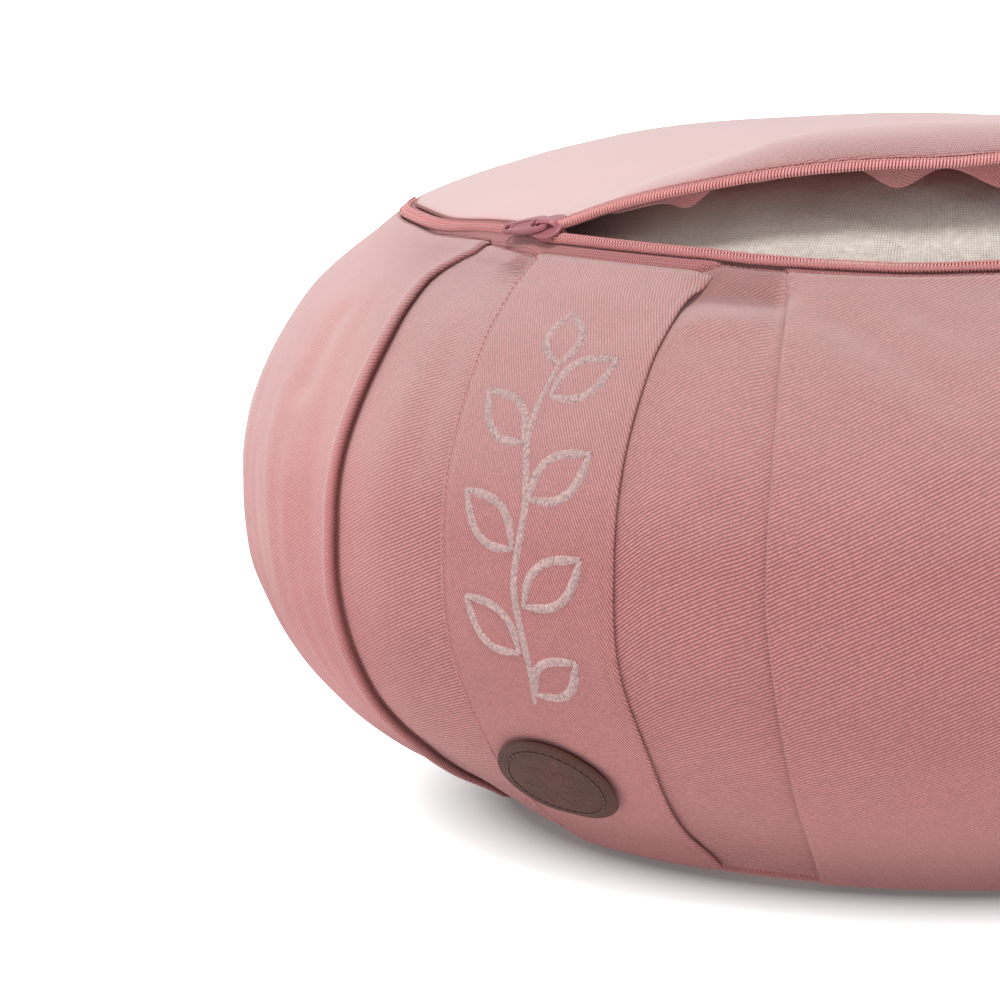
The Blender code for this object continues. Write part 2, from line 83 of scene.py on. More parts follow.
# The zip
CHAIN_LEFT = 92.0         # the tapes and coils run from here
CHAIN_RIGHT = -71.5       # to here
CHAIN_FADE = 0.8          # past the chain's ends the cloth closes to its seam over this much, each way
CHAIN_STEPS = 420
TAPE = 0.7 * MM
TAPE_WIDTH = 10.2 * MM
TAPE_PITCH = 0.66 * MM
SLIDER_ANGLE = 41.2
SLIDER_TOP = 0.6 * MM
SLIDER_DROP = 0.3 * MM
SLIDER_PLATE = 0.9 * MM
SLIDER_BACK = -5.0 * MM   # the back plate's underside
ZIP_SHIFT = 1.5 * MM      # how far the closed zip's middle lies on the top panel's side of the rim
ZIP_MIDDLES = (  # angle, how far the closed zip's middle lies from the rim, in mm
    (-74.0, 1.0), (39.0, -1.5), (42.0, -1.5), (46.0, -2.0), (48.0, -2.2), (50.0, -2.15), (52.0, -1.9),
    (54.0, -1.45), (56.0, -0.7), (58.0, 0.0), (60.0, 0.35), (62.0, 0.55), (66.0, 0.55), (70.0, 0.4),
    (74.0, 0.45), (78.0, 0.8), (82.0, 1.1), (99.0, 1.1),
)
LOWER_COIL = (  # the same for the open zip's lower coil
    (-74.0, -0.9), (-3.0, -0.85), (0.0, -0.65), (4.0, -0.6), (12.0, -0.5), (16.0, -0.65), (20.0, -0.4),
    (24.0, -0.1), (27.0, 0.0), (30.0, 0.1), (33.0, 0.25), (36.0, 0.4), (44.0, 0.5),
)
UPPER_COIL = ((-74.0, -1.35), (44.0, -1.35))
COIL_APART = 0.80 * MM                  # from the closed zip's middle to a coil's middle
COIL_HALF = (1.15 * MM, 0.62 * MM)      # across, open and closed
COIL_HEIGHT = (0.95 * MM, 0.55 * MM)
COIL_LEVEL = (-0.50 * MM, -0.45 * MM)
CORD_RADIUS = (0.72 * MM, 0.34 * MM)
COIL_STEPS = 12                         # places for each turn
LOWER_EDGES = (  # angle, how far the side wall's edge stops short of the rim, in mm
    (-74.0, 2.4), (-20.0, 2.0), (-7.0, 1.8), (3.0, 2.3), (13.2, 2.7), (14.0, 1.5), (20.0, 1.5), (21.5, 3.4),
    (23.0, 5.6), (38.0, 5.9), (40.5, 5.3), (44.0, 4.2), (48.0, 3.0), (52.0, 2.8), (54.0, 2.9), (58.0, 3.35),
    (61.0, 3.6), (64.0, 3.2), (67.0, 2.8), (70.0, 2.6), (80.0, 2.9), (99.0, 3.2),
)
UPPER_EDGES = (  # the same for the top panel
    (-74.0, 4.2), (-70.0, 3.1), (28.0, 3.1), (34.0, 3.2), (38.0, 3.6), (41.0, 4.4), (44.0, 5.0), (48.0, 5.6),
    (50.0, 5.4), (52.0, 5.1), (54.0, 4.7), (56.0, 4.0), (58.0, 3.2), (60.0, 2.65), (62.0, 2.4), (65.0, 2.6),
    (68.0, 2.85), (72.0, 3.0), (76.0, 2.7), (80.0, 2.2), (86.0, 1.8), (99.0, 1.8),
)
RIM_LIFTS = (  # angle, how far the side wall's rim stands up where the zip is open, in mm
    (-70.0, 0.0), (-50.0, 0.5), (-20.0, 1.0), (-7.0, 0.9), (-2.0, 0.35), (3.0, 0.0), (17.4, 0.1),
    (22.0, 0.75), (36.0, 0.9), (41.2, 0.7), (46.0, 0.0),
)
LIP_LIFTS = (  # the same for the top panel
    (-68.0, 0.0), (-45.0, 0.6), (-20.0, 1.2), (-7.0, 1.1), (-3.0, 0.55), (0.0, 0.6), (2.0, 0.8), (4.0, 1.05),
    (8.0, 1.3), (12.0, 1.4), (16.0, 1.4), (20.0, 1.2), (24.0, 1.1), (27.0, 1.17), (30.0, 1.3), (34.0, 1.55),
    (36.0, 1.75), (37.0, 1.95), (38.0, 2.3), (38.6, 2.8), (39.0, 3.5), (40.0, 3.1), (41.0, 2.5), (42.0, 1.9),
    (44.0, 1.1), (47.0, 0.0),
)
CREST_LIFTS = (  # how much fuller the lip is above the opening, in mm
    (-30.0, 0.5), (-8.0, 0.8), (0.0, 1.6), (12.0, 2.9), (19.0, 3.3), (27.0, 2.7), (33.5, 1.6), (38.0, 0.8),
    (44.0, 0.0),
)

# Pleats
FOLDS = (  # ((share of the way down, angle), ...), side of its pleat, size of its roll
    (((0.0, 13.3), (0.02, 13.2), (0.065, 12.5), (0.11, 12.0), (0.15, 11.8), (0.23, 11.3), (0.33, 11.1),
      (0.44, 11.1), (0.57, 10.6), (0.68, 10.4), (0.76, 10.5), (0.85, 10.8), (0.93, 11.4),
      (1.05, 12.3)), 1, 0.50),
    (((0.0, 49.8), (0.018, 50.2), (0.03, 51.3), (0.045, 52.2), (0.06, 53.1), (0.08, 53.4), (0.10, 53.3),
      (0.125, 52.9), (0.17, 52.3), (0.20, 52.0), (0.27, 52.1), (0.34, 51.8), (0.41, 51.9), (0.48, 52.5),
      (0.575, 53.1), (0.635, 54.1), (0.69, 55.7), (0.75, 57.7), (0.80, 60.2), (0.86, 64.5), (0.92, 69.5),
      (1.05, 77.0)), -1, 1.00),
    (((0.0, 86.0), (0.5, 85.5), (1.05, 87.0)), 1, 0.60),
    (((0.0, 94.5), (0.5, 94.0), (1.05, 95.5)), -1, 0.60),
)
WALL_END = 1.035      # share of the way down at which the cloth ends, past the frame's foot
BACK_PLEATS = 7
BACK_PLEAT_WIDTH = 9.0
BACK_ROLL = 0.75
FOLD_HEIGHT = 2.7 * MM
FOLD_HEIGHT_AT_RIM = 1.3 * MM
FOLD_HEIGHT_AT_FOOT = 2.0 * MM
FOLD_SECTION = (  # towards the pleat and lift of the roll in mm, share of the step down to the pleat, painted shade
    (-9.0, 0.00, 0.00, 0.0),
    (-6.0, 0.00, 0.00, 0.0),
    (-4.4, 0.06, 0.00, 0.0),
    (-3.4, 0.24, 0.00, 0.0),
    (-2.5, 0.55, 0.00, 0.0),
    (-1.6, 0.68, 0.00, 0.0),
    (-0.8, 0.45, 0.02, 0.1),
    (-0.2, 0.00, 0.10, 0.5),
    (0.05, -0.45, 0.24, 1.0),
    (-0.25, -0.30, 0.45, 1.0),
    (-1.0, 0.00, 0.66, 1.0),
    (-0.6, 0.00, 0.90, 1.0),
    (0.3, 0.00, 0.92, 0.7),
    (0.9, 0.00, 0.90, 0.20),
    (2.6, 0.00, 0.94, 0.0),
    (5.0, 0.00, 1.00, 0.0),
)
PANEL_PUFF = 1.0 * MM
TUCKS = (  # angles from and to, how far down, how deep the painted shade of the cloth tucked under the zip is
    (13.9, 21.6, 0.066, 0.42),
    (41.6, 44.4, 0.052, 0.34),
)

# The band and the patch
BAND_WIDTH = 50 * MM
BAND_LINE = (  # share of the way down, angle of the band's middle
    (0.0, 30.6), (0.03, 30.8), (0.10, 31.5), (0.24, 31.3), (0.38, 30.8), (0.45, 30.7), (0.52, 30.9),
    (0.58, 31.0), (0.65, 31.0), (0.72, 31.6), (0.79, 32.8), (0.86, 34.4), (0.93, 36.0), (1.05, 37.2),
)
BAND = 1.2 * MM
BAND_CLOTH = 1.0 * MM
BAND_START = 5.6 * MM     # below the rim
BAND_END = 1.022          # share of the way down
PATCH_RADIUS = 17.7 * MM
PATCH = 1.8 * MM
LEATHER = 1.3 * MM
PATCH_PLACE = 0.776       # share of the way down
PATCH_SIDE = 3.8 * MM     # to the left of the band's middle

# The casing
CASING_DEPTH = 5.4 * MM
CASING_DEPTH_UNDER_CROWN = 2.2 * MM
CASING_BULGE = 5.5 * MM
CASING_WALL = (0.93, 0.045)       # its side, from foot to rim, as shares of the way down the wall
CASING_SET_IN = 1.5 * MM

# Soft creases in the side wall: places along each one, its width to the left and to the right of the way
# that it runs, and its height (all three in mm; below nothing is a trough)
FLAT_RADIUS = 170.0                 # in mm, where the wall is laid flat for its creases
WALL_CREASES = (  # ((angle, share of the way down), ...), left width, right width, height
    (((76.5, 0.20), (73.5, 0.32), (72.4, 0.45), (72.6, 0.58)), 3.0, 9.0, 0.9),
    (((66.5, 0.20), (64.0, 0.34), (62.8, 0.46), (63.6, 0.60)), 5.0, 3.4, 0.75),
    (((61.0, 0.30), (59.8, 0.42), (60.4, 0.56), (62.0, 0.72)), 3.0, 2.2, 0.60),
    (((57.6, 0.42), (57.4, 0.55), (59.2, 0.68), (61.0, 0.80)), 2.4, 2.0, 0.50),
    (((64.0, 0.12), (62.8, 0.20), (61.6, 0.29)), 5.5, 4.5, -1.3),
    (((60.6, 0.07), (57.5, 0.20), (55.8, 0.36), (55.6, 0.50)), 4.0, 4.0, -0.55),
    (((69.5, 0.30), (68.0, 0.46), (69.0, 0.66)), 5.0, 4.0, -0.7),
    (((10.0, 0.055), (4.0, 0.125), (0.2, 0.170), (-4.0, 0.235)), 5.5, 3.0, -1.25),
    (((12.4, 0.085), (6.0, 0.165), (1.0, 0.235)), 6.0, 5.0, 0.55),
    (((3.5, 0.045), (-1.0, 0.090), (-5.0, 0.135)), 4.0, 3.0, -0.60),
    (((-1.0, 0.28), (-2.2, 0.38), (-3.2, 0.48)), 7.0, 6.0, -0.75),
    (((23.0, 0.042), (18.0, 0.052), (13.0, 0.050), (11.0, 0.048)), 4.5, 3.4, -1.9),
    (((22.0, 0.100), (17.5, 0.098), (13.6, 0.098)), 5.0, 4.0, 1.3),
    (((44.0, 0.012), (42.2, 0.036), (41.2, 0.062)), 2.6, 2.6, -1.5),
    (((15.2, 0.30), (13.6, 0.39), (12.4, 0.47)), 1.6, 3.4, -0.9),
    (((48.0, 0.12), (46.4, 0.26), (46.2, 0.44), (47.8, 0.62)), 6.0, 6.0, 0.55),
    (((44.4, 0.10), (43.0, 0.24), (42.6, 0.36)), 3.5, 3.5, -0.45),
    (((52.6, 0.82), (46.0, 0.90), (38.0, 0.95)), 7.0, 7.0, -0.6),
)


# Measures

def smooth(low, high, value):
    """0 below low, 1 above high, and a soft step between."""
    share = np.clip((np.asarray(value, float) - low) / (high - low), 0.0, 1.0)
    return share * share * (3.0 - 2.0 * share)


def mix(low, high, share):
    return low + (high - low) * share


def from_front(angle):
    """The same angle, between -180 and 180."""
    return (np.asarray(angle, float) + 180.0) % 360.0 - 180.0


def through(points, steps, closed=False):
    """A smooth curve through a few points, as steps + 1 points a like distance apart, and its length."""
    knots = np.array(points, float)
    if closed:
        ends = [knots[-1], *knots, knots[0], knots[1]]
    else:
        ends = [2 * knots[0] - knots[1], *knots, 2 * knots[-1] - knots[-2]]
    dense = []
    for before, start, end, after in zip(ends, ends[1:], ends[2:], ends[3:]):
        for share in np.linspace(0.0, 1.0, 24, endpoint=False):
            slope_in = (end - before) / 2
            slope_out = (after - start) / 2
            dense.append(
                (2 * share**3 - 3 * share**2 + 1) * start
                + (share**3 - 2 * share**2 + share) * slope_in
                + (3 * share**2 - 2 * share**3) * end
                + (share**3 - share**2) * slope_out
            )
    dense = np.array([*dense, ends[-2]])
    walked = np.concatenate([[0.0], np.cumsum(np.linalg.norm(np.diff(dense, axis=0), axis=1))])
    even = np.linspace(0.0, walked[-1], steps + 1)
    found = [np.interp(even, walked, dense[:, axis]) for axis in range(knots.shape[1])]
    return np.stack(found, axis=1), walked[-1]


WALL_CURVE, WALL_LENGTH = through(WALL_PROFILE, 240)
WALL_FALL = np.gradient(WALL_CURVE, axis=0)
WALL_FALL /= np.linalg.norm(WALL_FALL, axis=1)[:, None]
WALL_STEPS = np.arange(len(WALL_CURVE))


def around(angle, radius, height):
    turn = np.radians(angle)
    parts = np.broadcast_arrays(-radius * np.sin(turn), -radius * np.cos(turn), height)
    return np.stack(parts, axis=-1)


def openness(angle):
    """0 where the zip is closed, 1 in the middle of its open stretch."""
    share = np.clip((OPEN_LEFT - from_front(angle)) / (OPEN_LEFT - OPEN_RIGHT), 0.0, 1.0)
    return np.sin(np.pi * share)


def read_table(table, angle):
    """A length from a table of angles and millimetres."""
    angles, values = zip(*table)
    return np.interp(from_front(angle), angles, values) * MM


def wall_radius(down):
    return np.interp(np.asarray(down) * WALL_STEPS[-1], WALL_STEPS, WALL_CURVE[:, 0])


def wall_place(angle, down, out=0.0):
    """Places on the side wall: down runs from 0 at the rim to 1 at the foot, out is away from it."""
    down = np.asarray(down, float)
    at = np.clip(down, 0.0, 1.0) * WALL_STEPS[-1]
    beyond = (down - np.clip(down, 0.0, 1.0)) * WALL_LENGTH
    radius, height = (np.interp(at, WALL_STEPS, WALL_CURVE[:, axis]) for axis in range(2))
    outwards, upwards = (np.interp(at, WALL_STEPS, WALL_FALL[:, axis]) for axis in range(2))
    sag = RIM_SAG * openness(angle) * np.clip(1.0 - np.clip(down, 0.0, 1.0) / SAG_REACH, 0.0, None) ** 2
    lift = read_table(RIM_LIFTS, angle) * smooth(6.5 * MM, 1.5 * MM, down * WALL_LENGTH)
    radius = radius + outwards * beyond - upwards * out
    return around(angle, radius, height + upwards * beyond + outwards * out - sag + lift)


def crown_height(angle, share):
    closed = RIM_HEIGHT + CROWN_RISE * (1.0 - np.clip(share, 0.0, 2.0) ** CROWN_FLATNESS)
    sharpness = mix(1.2, 0.65, smooth(0.6, 1.0, share))
    lifted = LIP_LIFT * openness(angle) ** sharpness * smooth(0.15, 1.0, share)
    crest = read_table(CREST_LIFTS, angle) * np.exp(-(((share - 0.84) / 0.13) ** 2))
    return closed + lifted + crest + read_table(LIP_LIFTS, angle) * smooth(0.72, 0.98, share)


def crown_place(angle, share, out=0.0):
    """Places on the top panel: share runs from 0 in its middle to 1 at its rim."""
    share = np.asarray(share, float)
    radius = RIM_RADIUS - LIP_DRAW_IN * openness(angle)
    step = 0.01
    slope = (crown_height(angle, share + step) - crown_height(angle, share - step)) / (2 * step * radius)
    slope = np.where(share < step, 0.0, slope)
    normal = 1.0 / np.hypot(1.0, slope)
    return around(angle, share * radius - slope * normal * out, crown_height(angle, share) + normal * out)


def shut(angle):
    """1 where the zip is closed."""
    angle = from_front(angle)
    left = smooth(OPEN_LEFT + 1.5, OPEN_LEFT + 4.5, angle)
    return np.maximum(left, smooth(OPEN_RIGHT + 4.0, OPEN_RIGHT, angle))


def zip_place(side, angle, across, out=0.0):
    """Places by the zip: across is the distance from the rim, below nothing on the top panel's side."""
    angle, across = np.broadcast_arrays(np.asarray(angle, float), np.asarray(across, float))
    wall = wall_place(angle, across / WALL_LENGTH, out)
    crown = crown_place(angle, 1.0 + CROWN_EDGE_RUN * across / RIM_RADIUS, out)
    closed = mix(crown, wall, smooth(-1.5 * MM, 1.5 * MM, across)[..., None])
    own = wall if side == "lower" else crown
    return mix(own, closed, shut(angle)[..., None])


def waves(first, second, size, seed):
    """A smooth uneven field between about -1 and 1, with swells of about this size."""
    chance = np.random.default_rng(seed)
    total = np.zeros(np.broadcast(first, second).shape)
    for _ in range(9):
        heading = chance.uniform(0.0, 2 * np.pi)
        length = size * chance.uniform(0.7, 1.9)
        phase = chance.uniform(0.0, 2 * np.pi)
        walked = first * np.cos(heading) + second * np.sin(heading)
        total = total + np.sin(2 * np.pi * walked / length + phase)
    return total / 4.0


def relief_map(creases, low, high, step=0.5, ends=0.22):
    """The heights of soft creases on a net of flat places, all in millimetres.

    Each crease follows a line, and fades out over the share ends of it at both ends.
    """
    across = np.arange(low[0], high[0] + step, step)
    along = np.arange(low[1], high[1] + step, step)
    total = np.zeros((len(across), len(along)))
    for line, left_width, right_width, height in creases:
        bends, _ = through(line, 14)
        reach = 2.6 * max(left_width, right_width)
        part = tuple(
            slice(*np.searchsorted(net, (bend.min() - reach, bend.max() + reach)))
            for net, bend in ((across, bends[:, 0]), (along, bends[:, 1]))
        )
        spot_x, spot_y = np.meshgrid(across[part[0]], along[part[1]], indexing="ij")
        near = np.full(spot_x.shape, 1e9)
        side = np.zeros(spot_x.shape)
        share = np.zeros(spot_x.shape)
        for number, (start, end) in enumerate(zip(bends, bends[1:])):
            run = end - start
            walked = ((spot_x - start[0]) * run[0] + (spot_y - start[1]) * run[1]) / (run @ run)
            held = np.clip(walked, 0.0, 1.0)
            off_x = spot_x - start[0] - held * run[0]
            off_y = spot_y - start[1] - held * run[1]
            distance = np.hypot(off_x, off_y)
            closer = distance < near
            near = np.where(closer, distance, near)
            side = np.where(closer, run[0] * off_y - run[1] * off_x, side)
            share = np.where(closer, (number + held) / (len(bends) - 1), share)
        width = np.where(side > 0.0, left_width, right_width)
        fade = smooth(0.0, ends, share) * smooth(1.0, 1.0 - ends, share)
        total[part] += height * np.exp(-((near / width) ** 2)) * fade
    return across, along, total


def read_relief(net, across, along):
    """Reads a relief map between its places."""
    net_across, net_along, total = net
    spots = []
    for values, given in ((net_across, across), (net_along, along)):
        at = (np.asarray(given, float) - values[0]) / (values[1] - values[0])
        at = np.clip(at, 0.0, len(values) - 1.001)
        spots.append((at.astype(int), at - at.astype(int)))
    (column, right), (row, down) = spots
    near = mix(total[column, row], total[column + 1, row], right)
    far = mix(total[column, row + 1], total[column + 1, row + 1], right)
    return mix(near, far, down) * MM


def flat_wall(angle, down):
    """Flat places of the side wall in millimetres, as the creases use them."""
    return np.radians(angle) * FLAT_RADIUS, np.asarray(down) * WALL_LENGTH / MM


def make_wall_relief():
    creases = [([flat_wall(*place) for place in line], *sizes) for line, *sizes in WALL_CREASES]
    edge = np.pi * FLAT_RADIUS
    net = relief_map(creases, (-edge, 0.0), (edge, WALL_LENGTH / MM))
    across, along = np.meshgrid(net[0], net[1], indexing="ij")
    loose = smooth(0.0, 0.12, along * MM / WALL_LENGTH) * smooth(1.0, 0.9, along * MM / WALL_LENGTH)
    soft = 0.35 * waves(across, along, 60.0, 3) + 0.10 * waves(across, along, 17.0, 4)
    return net[0], net[1], net[2] + soft * loose


WALL_RELIEF = make_wall_relief()


def wall_relief(angle, down):
    """How far creases and unevenness lift the side wall."""
    return read_relief(WALL_RELIEF, *np.broadcast_arrays(*flat_wall(from_front(angle), down)))


# Meshes

def add_piece(name, mesh, material, node=None):
    piece = bpy.data.objects.new(name, mesh)
    bpy.context.scene.collection.objects.link(piece)
    mesh.materials.clear()
    mesh.materials.append(material)
    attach(piece, "root")
    if node:
        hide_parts(node)
    return piece


def grid(name, places, closed=False, cloth=None):
    """Faces between rows of places. cloth gives each place on the flat cloth, in metres."""
    rows, columns = places.shape[:2]
    steps = columns if closed else columns - 1
    row, column = np.meshgrid(np.arange(rows - 1), np.arange(steps), indexing="ij")
    following = (column + 1) % columns
    corners = [
        row * columns + column,
        (row + 1) * columns + column,
        (row + 1) * columns + following,
        row * columns + following,
    ]
    faces = np.stack(corners, axis=-1).reshape(-1, 4)
    mesh = bpy.data.meshes.new(name)
    mesh.from_pydata(places.reshape(-1, 3).tolist(), [], faces.tolist())
    if cloth is not None:
        layer = mesh.uv_layers.new(name="cloth")
        wide = cloth.shape[1]
        spots = [
            row * wide + column,
            (row + 1) * wide + column,
            (row + 1) * wide + column + 1,
            row * wide + column + 1,
        ]
        spots = np.stack(spots, axis=-1).reshape(-1)
        layer.uv.foreach_set("vector", cloth.reshape(-1, 2)[spots].astype(np.float32).ravel())
    mesh.shade_smooth()
    return mesh


def join_meshes(name, parts):
    """One mesh of many, each given as places and faces."""
    places = []
    faces = []
    count = 0
    for part_places, part_faces in parts:
        places.append(part_places)
        faces.extend((np.asarray(part_faces) + count).tolist())
        count += len(part_places)
    mesh = bpy.data.meshes.new(name)
    mesh.from_pydata(np.concatenate(places).tolist(), [], faces)
    mesh.shade_smooth()
    return mesh


def threads(paths, radius, sides=5, axis=None):
    """Places and faces of round threads along paths of a like number of points."""
    paths = np.asarray(paths, float)
    count, steps = paths.shape[:2]
    ahead = np.gradient(paths, axis=1)
    ahead /= np.linalg.norm(ahead, axis=2)[..., None] + 1e-12
    if axis is None:
        axis = paths - np.array((0.0, 0.0, 0.08))
    up = np.cross(ahead, axis)
    up /= np.linalg.norm(up, axis=2)[..., None] + 1e-12
    beside = np.cross(ahead, up)
    radii = np.broadcast_to(np.asarray(radius, float), (steps,))[None, :, None, None]
    turns = np.linspace(0.0, 2 * np.pi, sides, endpoint=False)[None, None, :, None]
    ring = up[:, :, None] * np.cos(turns) + beside[:, :, None] * np.sin(turns)
    places = (paths[:, :, None] + ring * radii).reshape(-1, 3)
    piece, step, side = np.meshgrid(np.arange(count), np.arange(steps - 1), np.arange(sides), indexing="ij")
    here = (piece * steps + step) * sides
    following = (side + 1) % sides
    faces = np.stack([here + side, here + following, here + sides + following, here + sides + side], axis=-1)
    return places, faces.reshape(-1, 4)


STITCH_SHARES = np.array((0.0, 0.16, 0.36, 0.64, 0.84, 1.0))
STITCH_RISES = np.array((-1.0, 0.25, 1.0, 1.0, 0.25, -1.0))
STITCH_WIDTHS = np.array((0.6, 0.9, 1.0, 1.0, 0.9, 0.6))


def stitches(place, starts, ends, radius, height):
    """Short threads that rise over the cloth. place gives places from flat ones and a height over them."""
    starts, ends = np.asarray(starts, float), np.asarray(ends, float)
    flat = mix(starts[:, None], ends[:, None], STITCH_SHARES[None, :, None])
    return threads(place(flat, height * STITCH_RISES[None, :]), radius * STITCH_WIDTHS)


# Shading

class Tree:
    """Adds nodes to one material or node group and joins them."""

    def __init__(self, tree):
        self.tree = tree

    def add(self, kind, **settings):
        node = self.tree.nodes.new(kind)
        for key, value in settings.items():
            setattr(node, key, value)
        return node

    def put(self, socket, value):
        if isinstance(value, bpy.types.NodeSocket):
            self.tree.links.new(value, socket)
        else:
            socket.default_value = value

    def math(self, operation, *values):
        node = self.add("ShaderNodeMath", operation=operation)
        for socket, value in zip(node.inputs, values):
            self.put(socket, value)
        return node.outputs[0]

    def blend(self, share, first, second):
        """A colour between two."""
        node = self.add("ShaderNodeMix", data_type="RGBA")
        self.put(node.inputs["Factor"], share)
        self.put(node.inputs[6], first)
        self.put(node.inputs[7], second)
        return node.outputs[2]

    def split(self, place):
        node = self.add("ShaderNodeSeparateXYZ")
        self.put(node.inputs[0], place)
        return tuple(node.outputs)

    def wave(self, phase):
        """From -1 to 1 over each whole step of the phase."""
        return self.math("MULTIPLY_ADD", self.math("FRACT", phase), 2.0, -1.0)

    def round_thread(self, wave):
        """1 on the middle of a thread and 0 at its sides, for a wave across it."""
        return self.math("SUBTRACT", 1.0, self.math("POWER", self.math("ABSOLUTE", wave), 2.0))

    def noise(self, place, scale, detail=2.0, roughness=0.5):
        node = self.add("ShaderNodeTexNoise")
        self.put(node.inputs["Vector"], place)
        self.put(node.inputs["Scale"], scale)
        self.put(node.inputs["Detail"], detail)
        self.put(node.inputs["Roughness"], roughness)
        return node.outputs["Fac"]

    def fit(self, value, low, high, to_low=0.0, to_high=1.0):
        node = self.add("ShaderNodeMapRange", clamp=True)
        for socket, number in zip(node.inputs, (value, low, high, to_low, to_high)):
            self.put(socket, number)
        return node.outputs[0]

    def group(self, group, **values):
        node = self.add("ShaderNodeGroup", node_tree=group)
        for key, value in values.items():
            self.put(node.inputs[key.replace("_", " ")], value)
        return node.outputs


def node_group(name, inputs, outputs):
    """Marks a function that joins a node group's nodes, so that it gives the group, built once.

    An input is a number, or a place where its default is None. Every output is a number.
    """
    def marked(build):
        def give():
            group = bpy.data.node_groups.get(name)
            if group:
                return group
            group = bpy.data.node_groups.new(name, "ShaderNodeTree")
            for socket_name, default in inputs.items():
                kind = "NodeSocketVector" if default is None else "NodeSocketFloat"
                socket = group.interface.new_socket(socket_name, in_out="INPUT", socket_type=kind)
                if default is not None:
                    socket.default_value = default
            for socket_name in outputs:
                group.interface.new_socket(socket_name, in_out="OUTPUT", socket_type="NodeSocketFloat")
            tree = Tree(group)
            given = tree.add("NodeGroupInput").outputs
            build(tree, given, tree.add("NodeGroupOutput").inputs)
            return group
        return give
    return marked


@node_group("twill weave", {"Place": None, "Rib": 0.85 * MM, "Thread": 0.46 * MM, "Lean": 0.45},
            ("Height", "Hollow", "Grain"))
def twill_group(tree, given, result):
    """Slanting ribs over upright threads. Hollow is the shade between them, Grain differs by thread."""
    turned = tree.add("ShaderNodeVectorRotate", rotation_type="Z_AXIS")
    tree.put(turned.inputs["Vector"], given["Place"])
    tree.put(turned.inputs["Angle"], tree.math("MULTIPLY", given["Lean"], -1.0))
    along, over, _ = tree.split(turned.outputs[0])
    sway = tree.fit(tree.noise(given["Place"], 45.0, 4.0, 0.6), 0.0, 1.0, -0.5, 0.5)
    phase = tree.math("ADD", tree.math("DIVIDE", over, given["Rib"]), sway)
    round_rib = tree.round_thread(tree.wave(phase))
    row = tree.math("FLOOR", phase)
    column = tree.math("MULTIPLY_ADD", row, 0.5, tree.math("DIVIDE", along, given["Thread"]))
    dip = tree.math("POWER", tree.math("ABSOLUTE", tree.wave(column)), 4.0)
    height = tree.math("MULTIPLY", round_rib, tree.math("MULTIPLY_ADD", dip, -0.65, 1.0))
    cell = tree.add("ShaderNodeCombineXYZ")
    tree.put(cell.inputs[0], tree.math("FLOOR", column))
    tree.put(cell.inputs[1], row)
    chance = tree.add("ShaderNodeTexWhiteNoise", noise_dimensions="2D")
    tree.put(chance.inputs["Vector"], cell.outputs[0])
    tree.put(result["Height"], height)
    tree.put(result["Hollow"], tree.math("SUBTRACT", 1.0, height))
    tree.put(result["Grain"], chance.outputs["Value"])


@node_group("plain weave", {"Place": None, "Pitch": 0.6 * MM}, ("Height", "Hole"))
def plain_weave_group(tree, given, result):
    """Threads over and under each other, with small holes between them."""
    bands = []
    for axis, spot in enumerate(tree.split(given["Place"])[:2]):
        sway = tree.fit(tree.noise(given["Place"], 140.0 + 30.0 * axis, 2.0), 0.0, 1.0, -0.5, 0.5)
        phase = tree.math("ADD", tree.math("DIVIDE", spot, given["Pitch"]), sway)
        bands.append((phase, tree.wave(phase)))
    rises = []
    for own, other in ((0, 1), (1, 0)):
        shifted = tree.math("MULTIPLY_ADD", tree.math("FLOOR", bands[own][0]), 1.0, bands[other][0])
        swing = tree.math("SINE", tree.math("MULTIPLY", tree.math("ADD", shifted, float(own)), math.pi))
        over = tree.math("MULTIPLY_ADD", swing, 0.35, 0.65)
        rises.append(tree.math("MULTIPLY", tree.round_thread(bands[own][1]), over))
    corner = tree.math("MULTIPLY", *(tree.math("ABSOLUTE", wave) for _, wave in bands))
    tree.put(result["Height"], tree.math("MAXIMUM", *rises))
    tree.put(result["Hole"], tree.fit(corner, 0.42, 0.72))


@node_group("herringbone", {"Place": None, "Pitch": 0.8 * MM}, ("Height", "Hollow"))
def herringbone_group(tree, given, result):
    """Rows of short slanting threads that turn back and forth across a tape."""
    spot_along, spot_over, _ = tree.split(given["Place"])
    across = tree.math("DIVIDE", spot_over, tree.math("MULTIPLY", given["Pitch"], 2.0))
    zigzag = tree.math("ABSOLUTE", tree.wave(across))
    along = tree.math("ADD", tree.math("DIVIDE", spot_along, given["Pitch"]), zigzag)
    turn = tree.math("POWER", tree.math("ABSOLUTE", tree.math("MULTIPLY_ADD", zigzag, 2.0, -1.0)), 4.0)
    dip = tree.math("MULTIPLY_ADD", turn, -0.5, 1.0)
    height = tree.math("MULTIPLY", tree.round_thread(tree.wave(along)), dip)
    tree.put(result["Height"], height)
    tree.put(result["Hollow"], tree.math("SUBTRACT", 1.0, height))


@node_group("cloth wear", {"Place": None, "Spread": 18.0}, ("Fade", "Lint", "Fuzz"))
def cloth_wear_group(tree, given, result):
    """Soft fading, lint and loose fibres of used cloth."""
    fade = tree.noise(given["Place"], given["Spread"], 5.0, 0.55)
    tree.put(result["Fade"], tree.fit(fade, 0.3, 0.7))
    tree.put(result["Lint"], tree.fit(tree.noise(given["Place"], 900.0, 2.0, 0.7), 0.62, 0.80))
    tree.put(result["Fuzz"], tree.noise(given["Place"], 3200.0, 2.0, 0.6))


